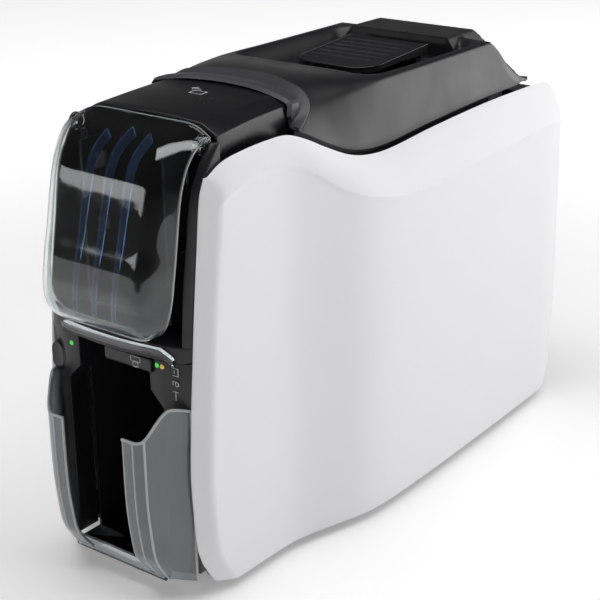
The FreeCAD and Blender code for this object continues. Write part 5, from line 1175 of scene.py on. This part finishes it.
BUTTON_X = -43.9
BUTTON_Z = 125.5
BUTTON_HALF = 4.9
BUTTON_TALL = 9.9
BUTTON_CORNER = 2.4
# Each ring of the button: its scale, and how far it lies behind the foremost one.
BUTTON_RINGS = ((1.0, 7.5), (1.0, 0.7), (0.93, 0.15), (0.82, 0.0), (0.6, 0.25), (0.3, 0.4))
SURROUND = 0.4
SURROUND_SCALE = (1.12, 1.07)
VISOR_X = (-4.0, 29.0)
VISOR_LOW_Z = 134.6
VISOR_TOP_Z = 142.6
VISOR_DEPTH = 2.2


class PRINTER_OT_controls(bpy.types.Operator):
    """The six-sided power button in its surround, and the plate over the mouth"""

    bl_idname = "printer.controls"
    bl_label = "Controls"

    def execute(self, context):
        self.build_button()
        self.build_visor()
        return {"FINISHED"}

    def build_button(self):
        """A button with a dished face, and a raised line round it."""
        shoulder = BUTTON_TALL * 0.55
        right = [(0, -BUTTON_TALL), (BUTTON_HALF, -shoulder), (BUTTON_HALF, shoulder), (0, BUTTON_TALL)]
        outline = rounded([(-BUTTON_HALF, -shoulder), *right, (-BUTTON_HALF, shoulder)], BUTTON_CORNER, 5)
        face = exit_y(BUTTON_X + BUTTON_HALF) - 0.6
        rings = []
        for scale, depth in BUTTON_RINGS:
            rings.append([Vector((BUTTON_X + p.x * scale, face + depth, BUTTON_Z + p.y * (1 + scale) / 2))
                          for p in outline])
        piece("button_key", solid(rings), "cap_black", "button", ("power_button",), keep_sharp=45)
        line = []
        for p in outline:
            x = BUTTON_X + p.x * SURROUND_SCALE[0]
            line.append(Vector((x, exit_y(x) - 0.1, BUTTON_Z + p.y * SURROUND_SCALE[1])))
        # The raised line wears the band's lighter grey, which is painted reflection.
        swept("button_surround", [line + line[:1]], SURROUND, "black_abs", "base", "cover_band")

    def build_visor(self):
        """A plate with an eased front edge over the mouth."""
        back, front = EXIT_FACE_Y - 0.15, EXIT_FACE_Y - VISOR_DEPTH
        ring = ((back, VISOR_LOW_Z), (front + 0.9, VISOR_LOW_Z), (front, VISOR_LOW_Z + 1.2),
                (front, VISOR_TOP_Z - 0.6), (front + 0.5, VISOR_TOP_Z), (back, VISOR_TOP_Z))
        rings = [[Vector((x, *point)) for point in ring] for x in shares(12, *VISOR_X)]
        piece("visor_plate", solid(rings), "cap_black", "base", ("exit_visor",), edge=0.4, segments=3)


LENS_RADIUS = 1.4
LENS_BACK_Y = -162.0
LENS_STEP = LENS_RADIUS * 2.6
LENS_ROW_Z = BEZEL_LOW_Z - LENS_STEP
# Each lens: its place, its slot and the CAD node that it stands for.
LENSES = (
    (-MOUTH_HALF - 5.4, BEZEL_LOW_Z - LENS_STEP * 1.8, "green_light", ("green_lights",)),
    (MOUTH_LOW_HALF - LENS_STEP * 0.9, LENS_ROW_Z, "green_light", ()),
    (MOUTH_LOW_HALF + LENS_STEP * 0.1, LENS_ROW_Z, "amber_light", ("amber_light",)),
)


class PRINTER_OT_lights(bpy.types.Operator):
    """Domed lenses of the indicator lights"""

    bl_idname = "printer.lights"
    bl_label = "Lights"

    def execute(self, context):
        dome = ((LENS_RADIUS, LENS_BACK_Y), (LENS_RADIUS, EXIT_FACE_Y), (1.15, EXIT_FACE_Y - 0.35),
                (0.6, EXIT_FACE_Y - 0.5))
        for number, (x, z, slot, nodes) in enumerate(LENSES):
            rings = [disc_points((x, y, z), radius, "y", 24) for radius, y in dome]
            piece("lens_%d" % number, solid(rings), slot, "base", nodes)
        return {"FINISHED"}


# Output bin

BIN_LOW_Z = 12.0
BIN_SHOULDER_Z = 117.0
BIN_DEPTH = EXIT_SIDE_Y + HALF_DEPTH
BIN_RISE = BIN_SHOULDER_Z - BIN_LOW_Z
BIN_DRAW = curves(BIN_RISE_SHARES, BIN_RISE, BIN_DEPTH)[0]
# The wings' top edge: low at the front, with a slope up to the printer's face.
BIN_TOP_Z = reader([(-195.5, 101.0), (-192.5, 102.6), (-187.0, 111.2), (-181.5, 118.0), (-176.0, 117.8),
                    (-168.0, 115.2)])
BIN_FRONT_Y = -HALF_DEPTH + 0.75
BIN_INNER = 22.0
BIN_CORNER = 34.5
BIN_OUTER = 50.0
BIN_WALL = 1.8
BIN_RIM = 0.8
FLOOR_WALL = 1.5
# The floor's front lip, as y and height, and the floor behind it.
FLOOR_LIP = ((-179.1, 12.1), (-176.5, 12.4), (-175.4, 15.8))
FLOOR_Y = (-175.0, -140.0, -102.0)
FLOOR_HALF = 32.4
FLOOR_Z = 16.2


def wing_row(side, t):
    """One row of points round a wing, from its inner edge to the printer's face."""
    front = BIN_FRONT_Y + BIN_DRAW(BIN_RISE * t)
    start, corner = Vector((BIN_CORNER - 5, front)), Vector((BIN_CORNER, front))
    end = Vector((BIN_OUTER, exit_y(BIN_OUTER) - 0.3))
    turned_end = corner.lerp(end, 0.25)
    points = [Vector((BIN_INNER, front)), Vector((BIN_INNER + 4, front)), start]
    points += bent(start, corner, turned_end, 6) + [turned_end.lerp(end, u) for u in shares(10)[1:]]
    return [Vector((p.x * side, p.y, BIN_LOW_Z + (BIN_TOP_Z(p.y) - BIN_LOW_Z) * t)) for p in points]


def wing_rims(side, rows):
    """Lines along a wing's edges and folds, for painted highlights."""
    back = Vector((0, BIN_RIM * 0.8, 0))
    aside = Vector((-BIN_RIM * side, 0, 0)) * 0.4
    return [[row[0] + back - aside * 2 for row in rows], [row[2] + back for row in rows],
            [row[6] + back * 0.6 + aside for row in rows], [row[-1] + aside for row in rows],
            [p + back * 0.5 - Vector((0, 0, BIN_RIM * 0.5)) for p in rows[-1]]]


class PRINTER_OT_output_bin(bpy.types.Operator):
    """The two smoky wings of the bin, their bright rims and the floor between them"""

    bl_idname = "printer.output_bin"
    bl_label = "Output bin"

    def execute(self, context):
        wings = [[wing_row(side, t) for t in shares(56)] for side in (1, -1)]
        piece("bin_wings", skinned(*wings), "clear_plastic", "base", ("output_bin",), wall=BIN_WALL,
              edge=0.45, keep_sharp=45, finish="bin_clear")
        rims = wing_rims(1, wings[0]) + wing_rims(-1, wings[1])
        # The rims wear the whiter edge finish: a painted highlight along the wings' edges and folds.
        swept("bin_rims", rims, BIN_RIM, "clear_plastic", "base", "edge_clear")
        lip = [[Vector((x, y, z)) for y, z in FLOOR_LIP] for x in shares(18, -BIN_CORNER, BIN_CORNER)]
        floor = [[Vector((x, y, FLOOR_Z)) for y in FLOOR_Y] for x in (-FLOOR_HALF, 0.0, FLOOR_HALF)]
        piece("bin_floor", skinned(lip, floor), "clear_plastic", "base", wall=FLOOR_WALL, edge=0.3)
        return {"FINISHED"}


# Printed signs


def ring_path(centre, radius, start=0.0, end=360.0, steps=20):
    """Points along part of a circle in the plane of a sign."""
    turns = [math.radians(angle) for angle in shares(steps, start, end)]
    return [(centre[0] + radius * math.cos(turn), centre[1] + radius * math.sin(turn)) for turn in turns]


def frame_path(x, y, wide, tall):
    """The outline of an upright oblong in the plane of a sign."""
    corners = ((-0.5, -0.5), (0.5, -0.5), (0.5, 0.5), (-0.5, 0.5), (-0.5, -0.5))
    return [(x + wide * a, y + tall * b) for a, b in corners]


SIGN_X = 41.4
SIGN_SCALE = 0.75
INK = 0.05
# Each sign on the front: x, how far it stands before the face, z, its scale, its body and its strokes.
SIGNS = {
    "card_out": (18.5, VISOR_DEPTH + INK, 138.6, 0.56, "base", (
        frame_path(0, 3.2, 12.0, 4.6), frame_path(0, -2.4, 6.4, 4.6),
        [(-1.6, -3.4), (0, -5.6), (1.6, -3.4)])),
    "card_stack": (SIGN_X, INK, 137.4, SIGN_SCALE, "base", (
        frame_path(0, 0, 8.6, 5.6), [(-2.4, -1.2), (-2.4, 1.2)], [(0.8, -1.2), (0.8, 1.2)])),
    "ribbon": (SIGN_X, INK, 130.6, SIGN_SCALE, "base", (
        ring_path((-2.6, 0), 2.0), ring_path((2.9, 0), 1.5), [(-2.6, 2.0), (2.9, 1.5)])),
    "service": (SIGN_X, INK, 123.8, SIGN_SCALE, "base", (
        [(1.5, -3.5), (1.5, 3.0)], [(-0.8, 3.0), (3.8, 3.0)], ring_path((-3.2, 1.5), 0.8, steps=8))),
    "power": (BUTTON_X, INK + 0.3, BUTTON_Z, 0.34, "button", (
        ring_path((0, 0), 4.4, 125, 415), [(0, 1.4), (0, 6.0)])),
}
# The sign on the cap lies flat: x and y of its middle, and its strokes.
CAP_SIGN = (-2.0, -97.0, (
    frame_path(2.0, -1.5, 8.6, 5.6), [(-7.5, 4.5), (-1.0, 4.5)], [(-4.5, 7.2), (-7.5, 4.5), (-4.5, 1.8)]))


class PRINTER_OT_printed_signs(bpy.types.Operator):
    """Symbols printed beside the controls: card in, card out, cards, ribbon, service and power"""

    bl_idname = "printer.printed_signs"
    bl_label = "Printed signs"

    def execute(self, context):
        stroke_radius = context.scene.printer_sizes.stroke / MM
        x, y, strokes = CAP_SIGN
        paths = [[Vector((x + a, y + b, cap_z(x + a, y + b))) for a, b in stroke] for stroke in strokes]
        swept("sign_card_in", paths, stroke_radius, "white_abs", "base", "ink")
        for name, (x, proud, z, scale, body, strokes) in SIGNS.items():
            y = exit_y(x) - proud
            paths = [[Vector((x + a * scale, y, z + b * scale)) for a, b in stroke] for stroke in strokes]
            swept("sign_" + name, paths, stroke_radius, "white_abs", body, "ink")
        return {"FINISHED"}


# Underside and rear

# Radius and height along the foot's tread and side, and along the screw's driver hole and head.
FOOT_PROFILE = ((2.0, 0.7), (2.4, 0.1), (3.9, 0.0), (4.3, 0.7), (5.0, 0.7), (5.4, 0.0), (6.9, 0.05),
                (7.6, 0.5), (7.9, 1.4), (8.0, 5.2), (7.6, 8.95))
FOOT_RADIUS = 8.0
SCREW_PROFILE = ((0.35, 0.2), (0.8, 0.12), (1.5, 0.1), (1.65, 0.1), (2.4, 0.25), (2.85, 0.7), (3.0, 1.3),
                 (3.0, 2.0))
SCREW_RADIUS = 3.0
CROSS_DEPTH = 0.9
CROSS_HALF_ANGLE = 11


def corner_places(node, radius, z):
    """Places in the four corners of a CAD node's box for round things of one radius."""
    low, high = ([value / MM for value in corner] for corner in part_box(node))
    across, along = ((low[axis] + radius, high[axis] - radius) for axis in (0, 1))
    return [(x, y, z) for x in across for y in along]


def build_feet():
    """Rubber feet with two rings on their treads."""
    foot = solid(turned(FOOT_PROFILE, shares(32, 0, 360)[:-1]))
    places = corner_places("rubber_feet", FOOT_RADIUS, 0.02)
    scattered("feet_treads", foot, places, "rubber", "base", ("rubber_feet",))


def build_tray_screws():
    """Pan head screws with a cross for the driver."""
    angles = [quarter * 90 + offset for quarter in range(4) for offset in (-14, -11, -4, 4, 11, 14, 34, 56)]
    rings = turned(SCREW_PROFILE, angles)
    for ring in rings[:3]:
        for angle, point in zip(angles, ring):
            if ring is rings[0] or abs((angle + 45) % 90 - 45) <= CROSS_HALF_ANGLE:
                point.z += CROSS_DEPTH
    places = corner_places("case_screws", SCREW_RADIUS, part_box("case_screws")[0][2] / MM)
    scattered("tray_screws", solid(rings), places, "steel", "base", ("case_screws",))


class PRINTER_OT_feet(bpy.types.Operator):
    """Rubber feet and the screws in the tray's underside"""

    bl_idname = "printer.feet"
    bl_label = "Feet and screws"

    def execute(self, context):
        build_feet()
        build_tray_screws()
        return {"FINISHED"}


RIB_COUNT = 12
RIB_PITCH = 4.0
RIB_TOP_Z = 196.0
RIB_HALF = 34.0
RIB_TALL = 1.5
RIB_PROUD = 0.9
RIB_SLOPE = 0.8


class PRINTER_OT_rear_ribs(bpy.types.Operator):
    """A grip field of ribs across the rear panel"""

    bl_idname = "printer.rear_ribs"
    bl_label = "Rear ribs"

    def execute(self, context):
        outline = ((-RIB_HALF, -0.2), (RIB_SLOPE - RIB_HALF, RIB_PROUD), (RIB_HALF - RIB_SLOPE, RIB_PROUD),
                   (RIB_HALF, -0.2))
        rib = solid(pushed([(x, y, -RIB_TALL / 2) for x, y in outline], (0, 0, RIB_TALL)))
        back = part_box("rear_panel")[1][1] / MM - 0.05
        places = [(0, back, RIB_TOP_Z - RIB_PITCH * number) for number in range(RIB_COUNT)]
        scattered("rear_ribs", rib, places, "black_abs", "base")
        return {"FINISHED"}


# Stage

FLOOR_REACH = 6.0
# The backdrop's own glow near the printer and far from it, and how far in metres it takes to change.
FLOOR_GLOW = (0.25, 0.7)
FLOOR_GLOW_REACH = (0.25, 1.1)
WORLD_STRENGTH = 0.05
# The studio's walls are lit above the floor's far edge, up to this share of the way to the ceiling. The
# front wall stays dim, because the clear door mirrors it.
WALL_SHARE = 0.2
FRONT_WALL_STRENGTH = 0.12
REAR_WALL_STRENGTH = 0.75
# Each light: place, what it faces, width and height, power.
STUDIO_LIGHTS = (
    ("top_softbox", (0.1, -0.1, 1.6), (0.05, 0, 0.1), (2.2, 0.8), 20.0),
    ("right_softbox", (1.05, 1.5, 0.5), (0.05, 0, 0.14), (1.7, 1.0), 14.0),
    ("front_softbox", (-1.05, -1.4, 0.45), (0, -0.17, 0.2), (0.8, 0.22), 1.3),
)
# Turn, tilt and roll in degrees, place in metres, focal length in millimetres.
CAMERA_ANGLES = (37.327, 21.456, -0.585)
CAMERA_PLACE = (0.52143, -0.69281, 0.45380)
CAMERA_LENS = 88.607


class PRINTER_OT_stage(bpy.types.Operator):
    """Sets up the pale floor, the studio's walls, the soft lights and the camera"""

    bl_idname = "printer.stage"
    bl_label = "Stage"

    def execute(self, context):
        self.make_floor()
        self.make_walls(context.scene)
        for light in STUDIO_LIGHTS:
            self.make_light(context.scene, *light)
        self.make_camera(context.scene)
        context.scene.view_settings.view_transform = "Standard"
        return {"FINISHED"}

    def make_floor(self):
        """A matt paper floor that glows a little more far away, as a lit backdrop does."""
        mesh = bpy.data.meshes.new("floor")
        corners = [(x * FLOOR_REACH, y * FLOOR_REACH, 0) for x, y in ((-1, -1), (1, -1), (1, 1), (-1, 1))]
        mesh.from_pydata(corners, [], [(0, 1, 2, 3)])
        floor = new_object("floor", mesh)
        material, tree, shader, place = blank_material("paper_backdrop_matt")
        fibre = add_node(tree, "ShaderNodeTexNoise", None, {"Vector": place, "Scale": 300.0})
        tint(tree, shader, fibre.outputs["Fac"], (0.93, 0.93, 0.93, 1), (0.95, 0.95, 0.95, 1))
        away = add_node(tree, "ShaderNodeVectorMath", {"operation": "LENGTH"}, {"Vector": place})
        glow = add_node(tree, "ShaderNodeMapRange", {"interpolation_type": "SMOOTHSTEP"}, {
            "Value": away.outputs["Value"], "From Min": FLOOR_GLOW_REACH[0],
            "From Max": FLOOR_GLOW_REACH[1], "To Min": FLOOR_GLOW[0], "To Max": FLOOR_GLOW[1]})
        tree.links.new(glow.outputs["Result"], shader.inputs["Emission Strength"])
        shader.inputs["Emission Color"].default_value = (1, 1, 1, 1)
        shader.inputs["Roughness"].default_value = 0.45
        shader.inputs["Specular IOR Level"].default_value = 0.3
        mesh.materials.append(material)

    def make_walls(self, scene):
        """A world that is dim overhead and has lit walls behind the floor's edge."""
        scene.world = bpy.data.worlds.new("studio")
        scene.world.use_nodes = True
        sky = scene.world.node_tree
        background = sky.nodes["Background"]
        background.inputs["Color"].default_value = (1, 1, 1, 1)
        direction = add_node(sky, "ShaderNodeTexCoord").outputs["Generated"]
        along = add_node(sky, "ShaderNodeSeparateXYZ", None, {"Vector": direction}).outputs
        wall = add_node(sky, "ShaderNodeMapRange", None, {
            "Value": along["Y"], "From Min": -0.75, "From Max": 0.0, "To Min": FRONT_WALL_STRENGTH,
            "To Max": REAR_WALL_STRENGTH})
        dome = add_node(sky, "ShaderNodeMapRange", {"interpolation_type": "SMOOTHSTEP"}, {
            "Value": along["Z"], "From Min": 0.0, "From Max": WALL_SHARE, "To Min": wall.outputs["Result"],
            "To Max": WORLD_STRENGTH})
        sky.links.new(dome.outputs["Result"], background.inputs["Strength"])

    def make_light(self, scene, name, place, target, size, power):
        """A rectangular softbox that faces its target."""
        data = bpy.data.lights.new(name, "AREA")
        data.shape = "RECTANGLE"
        data.size, data.size_y = size
        data.energy = power
        light = bpy.data.objects.new(name, data)
        light.location = place
        light.rotation_euler = (Vector(target) - Vector(place)).to_track_quat("-Z", "Y").to_euler()
        scene.collection.objects.link(light)

    def make_camera(self, scene):
        """The photograph's camera."""
        turn, tilt, roll = (math.radians(a) for a in CAMERA_ANGLES)
        ahead = Vector((-math.sin(turn) * math.cos(tilt), math.cos(turn) * math.cos(tilt), -math.sin(tilt)))
        level = Vector((math.cos(turn), math.sin(turn), 0))
        up = level.cross(ahead)
        right = level * math.cos(roll) + up * math.sin(roll)
        up = up * math.cos(roll) - level * math.sin(roll)
        data = bpy.data.cameras.new("camera")
        data.lens = CAMERA_LENS
        data.sensor_width = 36
        data.clip_start = 0.05
        camera = bpy.data.objects.new("camera", data)
        frame = Matrix((right, up, -ahead)).transposed().to_4x4()
        frame.translation = Vector(CAMERA_PLACE)
        camera.matrix_world = frame
        scene.collection.objects.link(camera)
        scene.camera = camera


# Panel and registration

OPERATORS = (
    PRINTER_OT_finishes, PRINTER_OT_side_panels, PRINTER_OT_top_cover, PRINTER_OT_cover_latch,
    PRINTER_OT_hopper_cap, PRINTER_OT_front_bezel, PRINTER_OT_hopper_door, PRINTER_OT_trim_strip,
    PRINTER_OT_exit_face, PRINTER_OT_controls, PRINTER_OT_lights, PRINTER_OT_output_bin,
    PRINTER_OT_printed_signs, PRINTER_OT_feet, PRINTER_OT_rear_ribs, PRINTER_OT_stage,
)


class PRINTER_PT_panel(bpy.types.Panel):
    """Lists the sizes, the colours and the operators"""

    bl_idname = "PRINTER_PT_panel"
    bl_label = "Card Printer"
    bl_space_type = "VIEW_3D"
    bl_region_type = "UI"
    bl_category = "Card Printer"

    def draw(self, context):
        for group in (context.scene.printer_sizes, context.scene.printer_colours):
            for name in group.__annotations__:
                self.layout.prop(group, name)
        for operator in OPERATORS:
            self.layout.operator(operator.bl_idname)


CLASSES = (PrinterSizes, PrinterColours) + OPERATORS + (PRINTER_PT_panel,)


def register():
    """Registers the classes and hangs the sizes and colours on the scene."""
    for item in CLASSES:
        bpy.utils.register_class(item)
    bpy.types.Scene.printer_sizes = PointerProperty(type=PrinterSizes)
    bpy.types.Scene.printer_colours = PointerProperty(type=PrinterColours)


def unregister():
    """Takes the sizes, the colours and the classes away again."""
    del bpy.types.Scene.printer_colours
    del bpy.types.Scene.printer_sizes
    for item in reversed(CLASSES):
        bpy.utils.unregister_class(item)


def main():
    """Builds the finishes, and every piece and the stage."""
    register()
    for operator in OPERATORS:
        group, name = operator.bl_idname.split(".")
        getattr(getattr(bpy.ops, group), name)()


if __name__ == "__main__":
    main()
